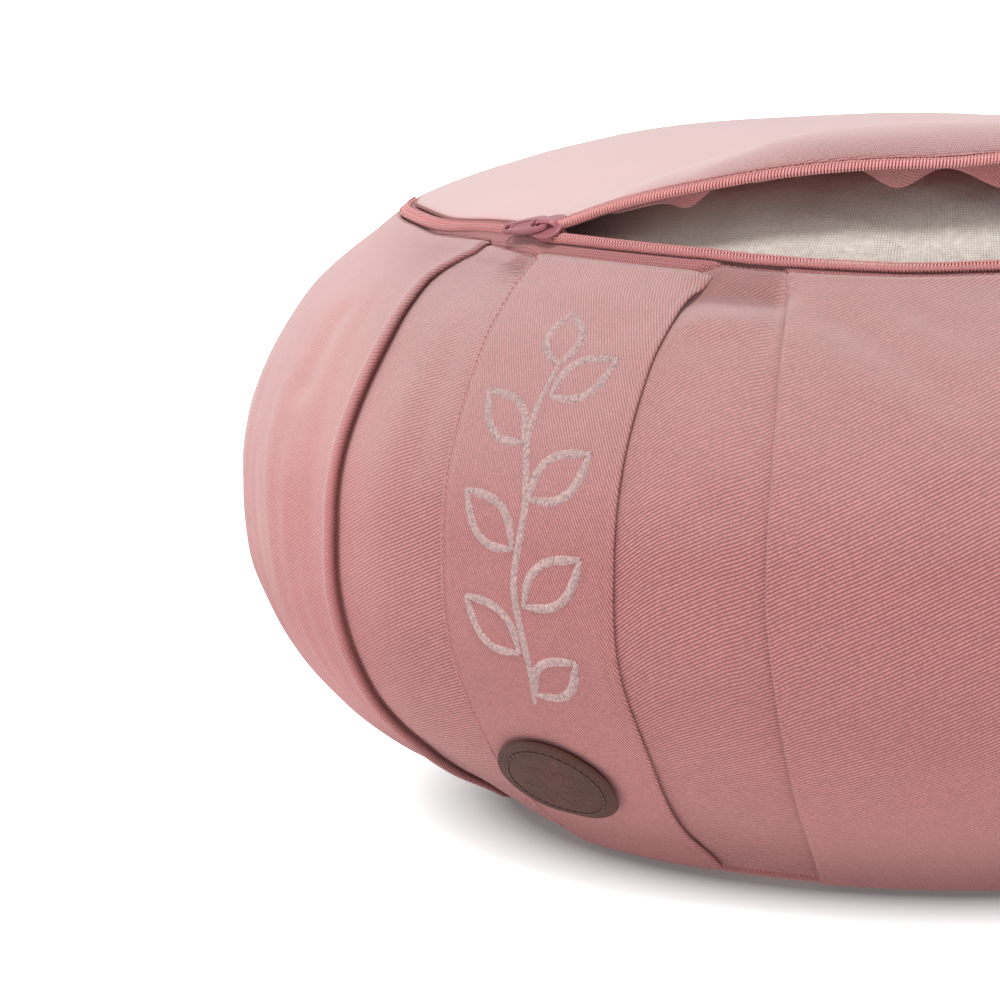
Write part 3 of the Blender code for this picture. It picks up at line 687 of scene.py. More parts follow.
@node_group("painted sheen and top light", {"Facing": 0.0, "Tops": 0.31, "Grazing": 0.26}, ("Painted light",))
def painted_sheen_group(tree, given, result):
    """How much painted light a cloth gets: painted top light where it faces up, and painted sheen where it is
    seen at a low angle.
    """
    upward = tree.split(tree.add("ShaderNodeNewGeometry").outputs["Normal"])[2]
    tops = tree.math("MULTIPLY", tree.fit(upward, 0.05, 0.95), given["Tops"])
    low = tree.math("MULTIPLY", tree.fit(given["Facing"], 0.30, 0.95), given["Grazing"])
    grazing = tree.math("MULTIPLY", low, tree.fit(upward, -0.3, 0.3, 0.05, 1.0))
    tree.put(result["Painted light"], tree.math("ADD", tops, grazing))


@node_group("edge highlights", {"Sharpness": 6.0}, ("Highlight",))
def edge_highlight_group(tree, given, result):
    """1 on outer edges and 0 in hollows, from how pointed the surface is; it places painted highlights on
    edges.
    """
    pointed = tree.add("ShaderNodeNewGeometry").outputs["Pointiness"]
    centred = tree.math("SUBTRACT", pointed, 0.5)
    tree.put(result["Highlight"], tree.fit(tree.math("MULTIPLY", centred, given["Sharpness"]), -0.5, 0.5))


def new_material(name):
    material = bpy.data.materials.new(name)
    material.use_nodes = True
    tree = Tree(material.node_tree)
    shader = material.node_tree.nodes["Principled BSDF"]
    return material, tree, shader


def on_cloth(tree):
    return tree.add("ShaderNodeUVMap", uv_map="cloth").outputs[0]


def in_space(tree):
    return tree.add("ShaderNodeTexCoord").outputs["Object"]


def bumped(tree, shader, heights):
    """Feeds one or more heights, each with its depth in metres, to the shader's normal."""
    normal = None
    for height, depth in heights:
        bump = tree.add("ShaderNodeBump")
        bump.inputs["Strength"].default_value = 1.0
        bump.inputs["Distance"].default_value = depth
        tree.put(bump.inputs["Height"], height)
        if normal:
            tree.put(bump.inputs["Normal"], normal)
        normal = bump.outputs[0]
    tree.put(shader.inputs["Normal"], normal)


def dress(tree, shader, colour, roughness, heights, **even):
    """Feeds a shader its colour, roughness and bumps, and sets what is even all over."""
    tree.put(shader.inputs["Base Color"], colour)
    tree.put(shader.inputs["Roughness"], roughness)
    for name, value in even.items():
        shader.inputs[name.replace("_", " ")].default_value = value
    bumped(tree, shader, heights)


def times(colour, factor):
    return tuple(min(1.0, part * factor) for part in colour[:3]) + (1.0,)


# Painted sheen and top light: the colour that cloth is painted towards where it faces up and where it is seen
# at a low angle
SHEEN_AND_TOP_LIGHT_COLOUR = (0.90, 0.705, 0.69, 1.0)
# Painted shadow: under the folds' rolls and where the cloth tucks under the zip, the cloth is painted towards
# this dark colour
FOLD_SHADOW_COLOUR = (0.15, 0.035, 0.03, 1.0)
FOLD_SHADE = 0.72
FUZZ_DEPTH = 0.02 * MM
RIB_FADE_ZONES = {  # axis (0 to the right, 1 to the back), where the ribs are weakest, where they are full, share of the ribs and their painted shade kept
    "left": (0, -0.145, -0.120, 0.35),
    "back": (1, -0.106, -0.127, 0.25),
}
TOP_LIGHT_AT_FRONT = 0.2                         # share of the top's painted top light that its front edge keeps
CASING_LIGHT_RUN = (-0.128, -0.098)              # painted shade and light: the casing is painted darker at its front and paler from here to there, towards the back
TAPE_SHADOW_BAND = (1.75 * MM, 2.10 * MM)        # from the tape's inner edge, where the coil's painted shadow lies
TAPE_OPEN_RUN = (0.112, 0.125)              # along the tape, where the coil's painted shadow begins to show


def twill_material(name, colour, lean, rib, depth, contrast=1.0, sheen=0.32, sheen_and_top_light=(0.31, 0.26), weak_ribs=None):
    """Twill whose ribs, with their bumps and the painted shade between them, can be weaker: on the cushion's
    left side, or on the top behind its front.

    The pair after sheen says how strongly it is painted paler: where it faces up, as painted top light, and
    where it is seen at a low angle, as painted sheen.
    """
    material, tree, shader = new_material(name)
    weave = tree.group(
        twill_group(), Place=on_cloth(tree), Rib=rib, Thread=0.55 * rib, Lean=math.radians(lean),
    )
    wear = tree.group(cloth_wear_group(), Place=in_space(tree), Spread=16.0)
    kept, top_light_share = contrast, sheen_and_top_light[0]
    if weak_ribs:
        axis, *zone, ribs_kept = RIB_FADE_ZONES[weak_ribs]
        spot = tree.split(in_space(tree))[axis]
        kept = tree.fit(spot, *zone, ribs_kept * contrast, contrast)
        if weak_ribs == "back":
            top_light_share = tree.fit(spot, *zone, sheen_and_top_light[0], TOP_LIGHT_AT_FRONT * sheen_and_top_light[0])
    plain = tree.blend(wear["Fade"], times(colour, 1.00), times(colour, 1.10))
    grain = tree.math("MULTIPLY", weave["Grain"], tree.math("MULTIPLY", kept, 0.5))
    grainy = tree.blend(grain, plain, times(colour, 1.5))
    shade = tree.math("MULTIPLY", tree.math("POWER", weave["Hollow"], 1.4), tree.math("MULTIPLY", kept, 0.85))
    woven = tree.blend(shade, grainy, times(colour, 0.40))
    dusted = tree.blend(tree.math("MULTIPLY", wear["Lint"], 0.16), woven, times(colour, 1.5))
    # painted sheen where the cloth is seen at a low angle, and painted top light where it faces up
    facing = tree.add("ShaderNodeLayerWeight")
    facing.inputs["Blend"].default_value = 0.5
    sheen_and_light = tree.group(painted_sheen_group(), Facing=facing.outputs["Facing"], Tops=top_light_share, Grazing=sheen_and_top_light[1])
    with_painted_light = tree.blend(sheen_and_light["Painted light"], dusted, SHEEN_AND_TOP_LIGHT_COLOUR)
    # painted shadow of the folds and tucks, from the side wall's fold_shade attribute
    fold = tree.add("ShaderNodeAttribute", attribute_name="fold_shade").outputs["Fac"]
    dress(
        tree, shader, tree.blend(tree.math("MULTIPLY", fold, FOLD_SHADE), with_painted_light, FOLD_SHADOW_COLOUR),
        tree.fit(wear["Fade"], 0.0, 1.0, 0.90, 0.80),
        [(tree.math("MULTIPLY", weave["Height"], kept), depth), (wear["Fuzz"], FUZZ_DEPTH)],
        Specular_IOR_Level=0.25, Sheen_Weight=sheen, Sheen_Roughness=0.35, Sheen_Tint=(1.0, 0.93, 0.92, 1.0),
    )
    return material


def casing_material(colour):
    """Undyed plain-woven cotton, slubby and a little holey, with painted shade that makes it darker at the
    mouth and painted light that makes it paler further back.
    """
    material, tree, shader = new_material("casing_cotton")
    place = on_cloth(tree)
    weave = tree.group(plain_weave_group(), Place=place, Pitch=0.60 * MM)
    wear = tree.group(cloth_wear_group(), Place=in_space(tree), Spread=30.0)
    # painted shade at the mouth and painted light further back
    deep = tree.fit(tree.split(in_space(tree))[1], *CASING_LIGHT_RUN)
    plain = tree.blend(deep, times(colour, 0.80), times(colour, 1.28))
    plain = tree.blend(tree.math("MULTIPLY", wear["Fade"], 0.4), plain, times(colour, 0.8))
    slub = tree.fit(tree.noise(place, 520.0, 4.0, 0.75), 0.38, 0.66)
    lively = tree.blend(tree.math("MULTIPLY", slub, 0.55), plain, times(colour, 1.4))
    # painted shade in the low places between the threads and in the holes
    ridged = tree.blend(tree.fit(weave["Height"], 0.75, 0.25, 0.0, 0.45), lively, times(colour, 0.55))
    patches = tree.fit(tree.noise(place, 95.0, 3.0, 0.6), 0.42, 0.60, 0.25, 1.0)
    holes = tree.math("MULTIPLY", weave["Hole"], patches)
    dress(
        tree, shader, tree.blend(holes, ridged, times(colour, 0.16)),
        tree.fit(wear["Fade"], 0.0, 1.0, 0.95, 0.85),
        [(weave["Height"], 0.12 * MM), (wear["Fuzz"], FUZZ_DEPTH)], Specular_IOR_Level=0.2, Sheen_Weight=0.2,
    )
    return material


def tape_material(colour):
    """Herringbone tape, with the coil's painted shadow beside it along its open stretch."""
    material, tree, shader = new_material("zip_tape")
    place = on_cloth(tree)
    weave = tree.group(herringbone_group(), Place=place, Pitch=TAPE_PITCH)
    # painted highlights on the raised threads and painted shade in the hollows between them
    woven = tree.blend(tree.math("POWER", weave["Hollow"], 0.7), times(colour, 2.3), times(colour, 0.40))
    along, across, _ = tree.split(place)
    # painted shadow of the coil on the tape beside it
    beside_coil = tree.fit(across, *TAPE_SHADOW_BAND, 1.0, 0.0)
    coil_shadow = tree.math("MULTIPLY", beside_coil, tree.fit(along, *TAPE_OPEN_RUN, 0.2, 0.85))
    dress(
        tree, shader, tree.blend(coil_shadow, woven, times(colour, 0.25)),
        tree.fit(weave["Height"], 0.0, 1.0, 0.85, 0.55), [(weave["Height"], 0.16 * MM)], Sheen_Weight=0.3,
    )
    return material


def nylon_material(colour):
    """Dyed nylon, with a painted highlight on its outer turns."""
    material, tree, shader = new_material("zip_coil")
    wear = tree.group(cloth_wear_group(), Place=in_space(tree), Spread=200.0)
    edges = tree.group(edge_highlight_group(), Sharpness=5.0)
    base = tree.blend(wear["Fade"], times(colour, 0.92), times(colour, 1.08))
    dress(
        tree, shader, tree.blend(tree.math("MULTIPLY", edges["Highlight"], 0.5), base, times(colour, 1.5)),
        tree.fit(wear["Fade"], 0.0, 1.0, 0.50, 0.36), [(wear["Fuzz"], 0.01 * MM)],
    )
    return material


def paint_material(colour):
    """Satin paint, with a painted highlight on its edges."""
    material, tree, shader = new_material("zip_metal")
    wear = tree.group(cloth_wear_group(), Place=in_space(tree), Spread=350.0)
    edges = tree.group(edge_highlight_group(), Sharpness=7.0)
    base = tree.blend(wear["Fade"], times(colour, 0.93), times(colour, 1.07))
    edge_highlight = tree.fit(edges["Highlight"], 0.62, 0.95, 0.0, 0.35)
    dress(
        tree, shader, tree.blend(edge_highlight, base, times(colour, 1.9)),
        tree.fit(wear["Fade"], 0.0, 1.0, 0.42, 0.28),
        [(tree.noise(in_space(tree), 2600.0, 2.0), 0.015 * MM)], Coat_Weight=0.4, Coat_Roughness=0.2,
    )
    return material


def thread_material(name, light, dark, sheen):
    """Soft thread between two colours."""
    material, tree, shader = new_material(name)
    wear = tree.group(cloth_wear_group(), Place=in_space(tree), Spread=1500.0)
    dress(
        tree, shader, tree.blend(wear["Fade"], dark, light), tree.fit(wear["Fade"], 0.0, 1.0, 0.62, 0.40),
        [(wear["Fuzz"], 0.03 * MM)], Sheen_Weight=sheen,
    )
    return material


def leather_material(colour):
    """Grained leather, darker in its creases, with a painted highlight at its edge."""
    material, tree, shader = new_material("patch_leather")
    place = in_space(tree)
    wear = tree.group(cloth_wear_group(), Place=place, Spread=90.0)
    edges = tree.group(edge_highlight_group(), Sharpness=4.0)
    cells = tree.add("ShaderNodeTexVoronoi", feature="DISTANCE_TO_EDGE")
    tree.put(cells.inputs["Vector"], place)
    cells.inputs["Scale"].default_value = 1500.0
    grain = tree.fit(cells.outputs["Distance"], 0.0, 0.25)
    base = tree.blend(wear["Fade"], times(colour, 0.80), times(colour, 1.18))
    creased = tree.blend(tree.math("MULTIPLY_ADD", grain, -0.35, 0.35), base, times(colour, 0.45))
    edge_highlight = tree.fit(edges["Highlight"], 0.60, 0.95, 0.0, 0.45)
    dress(
        tree, shader, tree.blend(edge_highlight, creased, times(colour, 2.1)), tree.fit(grain, 0.0, 1.0, 0.72, 0.55),
        [(grain, 0.05 * MM), (wear["Fuzz"], FUZZ_DEPTH)], Specular_IOR_Level=0.3,
    )
    return material


# Settings

class ZafuCover(bpy.types.PropertyGroup):
    colour: bpy.props.FloatVectorProperty(
        name="Twill", description="Colour of the cover's twill", subtype="COLOR",
        default=(0.505, 0.202, 0.197), min=0.0, max=1.0,
    )
    rib: bpy.props.FloatProperty(
        name="Rib", description="Distance between the twill's ribs", default=0.85 * MM,
        unit="LENGTH", precision=5,
    )
    lean: bpy.props.FloatProperty(
        name="Lean", description="How far the ribs of the side wall rise, in degrees", default=26.0,
    )


class ZafuZip(bpy.types.PropertyGroup):
    colour: bpy.props.FloatVectorProperty(
        name="Coil", description="Colour of the nylon coil", subtype="COLOR",
        default=(0.62, 0.275, 0.265), min=0.0, max=1.0,
    )
    tape_colour: bpy.props.FloatVectorProperty(
        name="Tape", description="Colour of the zip's tape", subtype="COLOR",
        default=(0.32, 0.115, 0.115), min=0.0, max=1.0,
    )
    paint: bpy.props.FloatVectorProperty(
        name="Slider", description="Colour of the slider's paint", subtype="COLOR",
        default=(0.34, 0.115, 0.13), min=0.0, max=1.0,
    )
    pitch: bpy.props.FloatProperty(
        name="Pitch", description="Distance from one turn of a coil to the next", default=0.80 * MM,
        unit="LENGTH", precision=5,
    )
    wire: bpy.props.FloatProperty(
        name="Wire", description="Radius of the coil's nylon wire", default=0.28 * MM,
        unit="LENGTH", precision=5,
    )


class ZafuTrim(bpy.types.PropertyGroup):
    thread: bpy.props.FloatVectorProperty(
        name="Motif", description="Lighter colour of the stitched motif", subtype="COLOR",
        default=(0.72, 0.49, 0.475), min=0.0, max=1.0,
    )
    leather: bpy.props.FloatVectorProperty(
        name="Leather", description="Colour of the patch", subtype="COLOR",
        default=(0.082, 0.026, 0.016), min=0.0, max=1.0,
    )
    casing: bpy.props.FloatVectorProperty(
        name="Casing", description="Colour of the inner cushion's cotton", subtype="COLOR",
        default=(0.78, 0.69, 0.62), min=0.0, max=1.0,
    )
    stitch: bpy.props.FloatProperty(
        name="Stitch", description="Length of one stitch", default=1.65 * MM, unit="LENGTH", precision=5,
    )


# Side wall

FOLD_CURVES = [(through(line, 60)[0], side, size) for line, side, size in FOLDS]


def fold_angle(fold, down):
    return np.interp(down, fold[0][:, 0], fold[0][:, 1])


def fold_height(down):
    ends = mix(FOLD_HEIGHT_AT_RIM, FOLD_HEIGHT_AT_FOOT, down)
    return mix(ends, FOLD_HEIGHT, smooth(0.03, 0.22, down) * smooth(1.0, 0.75, down))


def all_folds():
    """Every fold once round, from the front towards the left."""
    folds = list(FOLD_CURVES)
    first, last = fold_angle(folds[0], 0.5), fold_angle(folds[-1], 0.5)
    panel = (360.0 + first - last - BACK_PLEATS * BACK_PLEAT_WIDTH) / (BACK_PLEATS + 1)
    for pleat in range(BACK_PLEATS):
        start = last + panel * (pleat + 1) + BACK_PLEAT_WIDTH * pleat
        for angle, side in ((start, 1), (start + BACK_PLEAT_WIDTH, -1)):
            folds.append((np.array(((0.0, angle), (1.0, angle))), side, BACK_ROLL))
    return folds


def column_step(angle):
    """The widest step between columns, in degrees: small where the camera sees creases."""
    angle = from_front(angle)
    if 50.0 < angle < 80.0:
        return 0.75
    return 1.25 if -14.0 < angle < 50.0 else 3.0


def wall_columns(down):
    """Angle, distance out and painted shade of every column at every level."""
    folds = all_folds()
    height = fold_height(down)
    radius = wall_radius(down)
    angles = []
    outs = []
    shades = []
    for number, fold in enumerate(folds):
        following = folds[(number + 1) % len(folds)]
        _, side, size = fold
        roll = mix(0.35, 1.0, smooth(0.0, 0.10, down) * smooth(1.0, 0.93, down)) * size
        for run, lift, step, shade in FOLD_SECTION[::side]:
            angles.append(fold_angle(fold, down) + side * np.degrees(run * MM * np.sqrt(size) / radius))
            outs.append(lift * MM * roll - step * height)
            shades.append(shade * size**1.5 * smooth(0.0, 0.08, down))
        pleat = side == 1
        reach = FOLD_SECTION[-1 if pleat else 0][0] * MM
        here = reach * side * math.sqrt(size)
        there = reach * following[1] * math.sqrt(following[2])
        start = fold_angle(fold, down) + np.degrees(here / radius)
        end = fold_angle(following, down) + np.degrees(there / radius)
        end = np.where(end < start - 90.0, end + 360.0, end)
        middle = len(down) // 2
        span = end[middle] - start[middle]
        columns = max(2, math.ceil(span / column_step(start[middle] + span / 2)))
        for column in range(1, columns):
            share = column / columns
            swell = 0.0 if pleat else PANEL_PUFF * math.sin(math.pi * share)
            swell = swell * smooth(0.0, 0.25, down) * smooth(1.0, 0.85, down)
            angles.append(mix(start, end, share))
            outs.append(swell - height * pleat)
            shades.append(np.zeros(down.shape))
    return tuple(np.stack(columns, axis=1) for columns in (angles, outs, shades))


def cloth_edge(angle, table=LOWER_EDGES):
    """How far a cloth's edge stops short of the rim."""
    spot = from_front(angle)
    zipped = smooth(CHAIN_RIGHT - CHAIN_FADE, CHAIN_RIGHT + CHAIN_FADE, spot)
    zipped = zipped * smooth(CHAIN_LEFT + CHAIN_FADE, CHAIN_LEFT - CHAIN_FADE, spot)
    return mix(SEAM_GAP, read_table(table, angle), zipped)


def tucked_edge(distance, depth=HEM_CURL):
    """How far cloth curls in close to its folded edge."""
    turned_in = np.clip(1.0 - distance / (1.4 * MM), 0.0, 1.0)
    return -depth * turned_in**2


WALL_EDGE_ROWS = (0.0, 0.4, 0.9, 1.6, 2.6, 4.0)      # in mm below the rim


class ZAFU_OT_side_wall(bpy.types.Operator):
    """Makes the pleated side wall with its rolled folds and soft creases"""
    bl_idname = "zafu.side_wall"
    bl_label = "Side wall"

    def execute(self, context):
        cover = context.scene.zafu_cover
        edge_rows = np.array(WALL_EDGE_ROWS) * MM / WALL_LENGTH
        down = np.concatenate([edge_rows, np.linspace(6.0 * MM / WALL_LENGTH, 1.0, 92)])
        angle, out, shade = wall_columns(down)
        level = down[:, None]
        start = cloth_edge(angle) / WALL_LENGTH
        placed = mix(start, WALL_END, level)
        out = out + wall_relief(angle, level)
        out = out + tucked_edge(level * WALL_LENGTH)
        out = out + tucked_edge((1.0 - level) * WALL_LENGTH)
        places = wall_place(angle, placed, out)
        middle = places[len(down) // 2]
        walked = np.cumsum(np.linalg.norm(np.diff(middle, axis=0, append=middle[:1]), axis=1))
        across = -np.concatenate([[0.0], walked])
        across, up = np.broadcast_arrays(across[None, :], (1.0 - level) * WALL_LENGTH)
        mesh = grid("side_wall_cloth", places, closed=True, cloth=np.stack([across, up], axis=-1))
        # Painted shade where the cloth tucks under the zip, in the same attribute as the folds' painted shade
        for first, last, end, depth in TUCKS:
            across = smooth(first - 0.5, first + 0.3, angle) * smooth(last + 0.8, last - 0.4, angle)
            shade = np.maximum(shade, depth * across * smooth(end + 0.012, end - 0.006, placed))
        layer = mesh.attributes.new("fold_shade", "FLOAT", "POINT")
        layer.data.foreach_set("value", shade.astype(np.float32).ravel())
        material = twill_material(
            "cover_twill", times(cover.colour, 1.06), cover.lean, cover.rib, 0.16 * MM,
            contrast=1.35, weak_ribs="left",
        )
        piece = add_piece("side_wall_cloth", mesh, material, "side_wall")
        thicken(piece)
        return {"FINISHED"}


def thicken(piece, thickness=CLOTH):
    solid = piece.modifiers.new("thickness", "SOLIDIFY")
    solid.thickness = thickness
    solid.offset = -1.0
    if piece.data.polygons[0].normal.dot(piece.data.polygons[0].center - Vector((0, 0, 0.08))) < 0.0:
        piece.data.flip_normals()


# Top and bottom panels

CROWN_CREASES = (  # ((left, towards the front), ...) in mm, left width, right width, height
    (((-62.0, 112.0), (-50.0, 108.0), (-37.0, 108.0)), 4.0, 3.0, -0.8),
    (((-58.0, 100.0), (-46.0, 98.0), (-34.0, 99.0)), 5.0, 4.0, -0.5),
    (((-30.0, 112.0), (-14.0, 112.0), (4.0, 113.0)), 5.0, 3.0, -0.5),
    (((-6.0, 104.0), (16.0, 101.0), (38.0, 100.0)), 6.0, 5.0, -0.6),
)


TOP_EDGE_ROWS = (12.0, 10.4, 8.8, 7.2, 5.8, 4.5, 3.4, 2.4, 1.6, 0.9, 0.4, 0.0)       # in mm from the edge


def disc(name, places):
    """A round cloth's mesh, from rings of places that run out from its middle."""
    wide = np.concatenate([places, places[:, :1]], axis=1)
    mesh = grid(name, places, closed=True, cloth=wide[..., :2])
    close_middle(mesh, places.shape[1])
    return mesh


class ZAFU_OT_top_panel(bpy.types.Operator):
    """Makes the top panel, whose front edge is lifted where the zip is open"""
    bl_idname = "zafu.top_panel"
    bl_label = "Top panel"

    def execute(self, context):
        cover = context.scene.zafu_cover
        inner = np.concatenate([[0.0015], np.linspace(0.03, 0.90, 34)])
        near_edge = 1.0 - np.array(TOP_EDGE_ROWS) * MM / RIM_RADIUS
        shares = np.concatenate([inner, near_edge])[:, None]
        angle = np.linspace(0.0, 360.0, 300, endpoint=False)[None, :]
        edge = 1.0 - CROWN_EDGE_RUN * cloth_edge(angle, UPPER_EDGES) / RIM_RADIUS
        flat = crown_place(angle, shares * edge)
        left, front = flat[..., 0] / MM, -flat[..., 1] / MM
        reach = RIM_RADIUS / MM + 5.0
        creases = relief_map(CROWN_CREASES, (-reach, -reach), (reach, reach), 1.0)
        out = read_relief(creases, left, front)
        out = out + 0.35 * MM * waves(left, front, 70.0, 8) * smooth(1.0, 0.9, shares)
        out = out + 0.12 * MM * waves(left, front, 16.0, 9) * smooth(0.55, 0.85, shares)
        out = out + tucked_edge((1.0 - shares) * RIM_RADIUS)
        mesh = disc("top_panel_cloth", crown_place(angle, shares * edge, out))
        # painted light: the top's cloth is a copy of the cover's twill, painted 15 % paler for the light that
        # falls on it from above
        material = twill_material(
            "top_twill", times(cover.colour, 1.15), 5.0, cover.rib, 0.20 * MM,
            contrast=1.7, sheen=0.45, sheen_and_top_light=(0.47, 0.36), weak_ribs="back",
        )
        piece = add_piece("top_panel_cloth", mesh, material, "top_panel")
        thicken(piece)
        return {"FINISHED"}


def close_middle(mesh, count):
    """Closes the small hole in the middle of a disc, whose first ring has this many places."""
    edit = bmesh.new()
    edit.from_mesh(mesh)
    edit.verts.ensure_lookup_table()
    layer = edit.loops.layers.uv.active
    face = edit.faces.new([edit.verts[n] for n in range(count)])
    for loop in face.loops:
        if layer:
            loop[layer].uv = loop.vert.co.xy
    face.smooth = True
    bmesh.ops.recalc_face_normals(edit, faces=edit.faces[:])
    edit.to_mesh(mesh)
    edit.free()


FOOT_SEAM = ((1.0, 0.1), (2.0, 0.5), (3.0, 1.3), (3.8, 2.6), (4.5, 4.2), (5.0, 6.2))     # out and up, in mm


class ZAFU_OT_bottom_panel(bpy.types.Operator):
    """Makes the flat bottom panel with its seam"""
    bl_idname = "zafu.bottom_panel"
    bl_label = "Bottom panel"

    def execute(self, context):
        cover = context.scene.zafu_cover
        outwards, upwards = np.array(FOOT_SEAM).T * MM
        flat = np.concatenate([[0.0005], np.linspace(0.01, FOOT_RADIUS, 18)])
        radii = np.concatenate([flat, FOOT_RADIUS + outwards])[:, None]
        heights = np.concatenate([np.zeros(flat.shape), upwards])[:, None]
        angle = np.linspace(0.0, 360.0, 180, endpoint=False)[None, :]
        mesh = disc("bottom_panel_cloth", around(angle, radii, heights))
        material = twill_material("bottom_twill", cover.colour, 30.0, cover.rib, 0.12 * MM)
        piece = add_piece("bottom_panel_cloth", mesh, material, "bottom_panel")
        thicken(piece)
        return {"FINISHED"}


# Inner cushion

CASING_FOOT_RADIUS = 0.100
CASING_FOOT_HEIGHT = 1.8 * MM
CASING_FLAT_RADIUS = 0.115          # where its cotton is laid flat for its weave


class ZAFU_OT_inner_cushion(bpy.types.Operator):
    """Makes the filled casing, uneven from its loose filling"""
    bl_idname = "zafu.inner_cushion"
    bl_label = "Inner cushion"

    def execute(self, context):
        trim = context.scene.zafu_trim
        steps = 240
        angle = np.linspace(0.0, 360.0, steps, endpoint=False)[None, :]
        foot = around(angle, np.linspace(0.0005, CASING_FOOT_RADIUS, 12)[:, None], CASING_FOOT_HEIGHT)
        side = wall_place(angle, np.linspace(*CASING_WALL, 40)[:, None], -CASING_DEPTH)
        share = np.concatenate([np.linspace(0.985, 0.55, 48), np.linspace(0.53, 0.004, 18)])[:, None]
        closed = RIM_HEIGHT + CROWN_RISE * (1.0 - share**CROWN_FLATNESS)
        depth = mix(CASING_DEPTH_UNDER_CROWN, CASING_DEPTH, smooth(0.75, 0.95, share))
        bulge = CASING_BULGE * openness(angle) * smooth(0.5, 0.85, share) * smooth(1.0, 0.88, share)
        crown = around(angle, share * (RIM_RADIUS - CASING_SET_IN), closed - depth + bulge)
        left, front = crown[..., 0] / MM, crown[..., 1] / MM
        shown = smooth(0.6, 0.75, share) * smooth(0.99, 0.95, share) * smooth(0.1, 0.4, openness(angle))
        lumps = 0.55 * waves(left, front, 22.0, 21) + 0.16 * waves(left, front, 7.0, 22)
        crown[..., 2] += lumps * MM * shown
        places = np.concatenate([foot, side, crown])
        rows = np.linalg.norm(np.diff(places[:, 0], axis=0), axis=1)
        along = np.concatenate([[0.0], np.cumsum(rows)])[:, None]
        wide_angle = np.linspace(0.0, 360.0, steps + 1)[None, :]
        cloth = np.stack(np.broadcast_arrays(np.radians(wide_angle) * CASING_FLAT_RADIUS, along), axis=-1)
        mesh = grid("inner_casing", places, closed=True, cloth=cloth)
        close_ends(mesh, steps)
        material = casing_material(trim.casing)
        piece = add_piece("inner_casing", mesh, material, "inner_cushion")
        return {"FINISHED"}


def close_ends(mesh, count):
    """Closes the first and the last ring of a round form."""
    edit = bmesh.new()
    edit.from_mesh(mesh)
    edit.verts.ensure_lookup_table()
    total = len(edit.verts)
    edit.faces.new([edit.verts[n] for n in range(count)])
    edit.faces.new([edit.verts[n] for n in range(total - count, total)])
    bmesh.ops.recalc_face_normals(edit, faces=edit.faces[:])
    edit.to_mesh(mesh)
    edit.free()
    mesh.shade_smooth()


# Zip

def coil_middle(side, angle):
    """How far a coil's middle is from the rim."""
    opened, way = (LOWER_COIL, 1.0) if side == "lower" else (UPPER_COIL, -1.0)
    closed = read_table(ZIP_MIDDLES, angle) + way * COIL_APART
    return mix(read_table(opened, angle), closed, shut(angle))


CHAIN_LENGTH = math.radians(CHAIN_LEFT - CHAIN_RIGHT) * RIM_RADIUS
TAPE_LEVEL = (-1.15 * MM, -0.70 * MM)       # out from the cover's outer face, open and closed
TAPE_DIP_LOWER = 1.75 * MM                  # how much deeper the hidden part of the lower tape lies
TAPE_DIP_UPPER = (0.25 * MM, 0.9 * MM)      # and of the upper one, open and closed


class ZAFU_OT_zip_tapes(bpy.types.Operator):
    """Makes both zip tapes with their woven herringbone"""
    bl_idname = "zafu.zip_tapes"
    bl_label = "Zip tapes"

    def execute(self, context):
        colours = context.scene.zafu_zip
        material = tape_material(colours.tape_colour)
        angle = np.linspace(CHAIN_LEFT, CHAIN_RIGHT, CHAIN_STEPS)
        for side, way, table in (("lower", 1.0, LOWER_EDGES), ("upper", -1.0, UPPER_EDGES)):
            middle = coil_middle(side, angle)
            edge = way * cloth_edge(angle, table)
            widths = np.linspace(0.0, TAPE_WIDTH, 15)
            rows = []
            for width in widths:
                across = middle + way * (width - 0.3 * MM)
                hidden = smooth(-1.1 * MM, 0.4 * MM, way * (across - edge))
                level = mix(*TAPE_LEVEL, shut(angle))
                deep = TAPE_DIP_LOWER if side == "lower" else mix(*TAPE_DIP_UPPER, shut(angle))
                rows.append(zip_place(side, angle, across, level - deep * hidden))
            places = np.stack(rows)
            along, across = np.meshgrid(np.linspace(0.0, CHAIN_LENGTH, len(angle)), widths)
            mesh = grid("zip_tape_" + side + "_weave", places, cloth=np.stack([along, across], axis=-1))
            piece = add_piece("zip_tape_" + side + "_weave", mesh, material, "zip_tape_" + side)
            thicken(piece, TAPE)
        return {"FINISHED"}


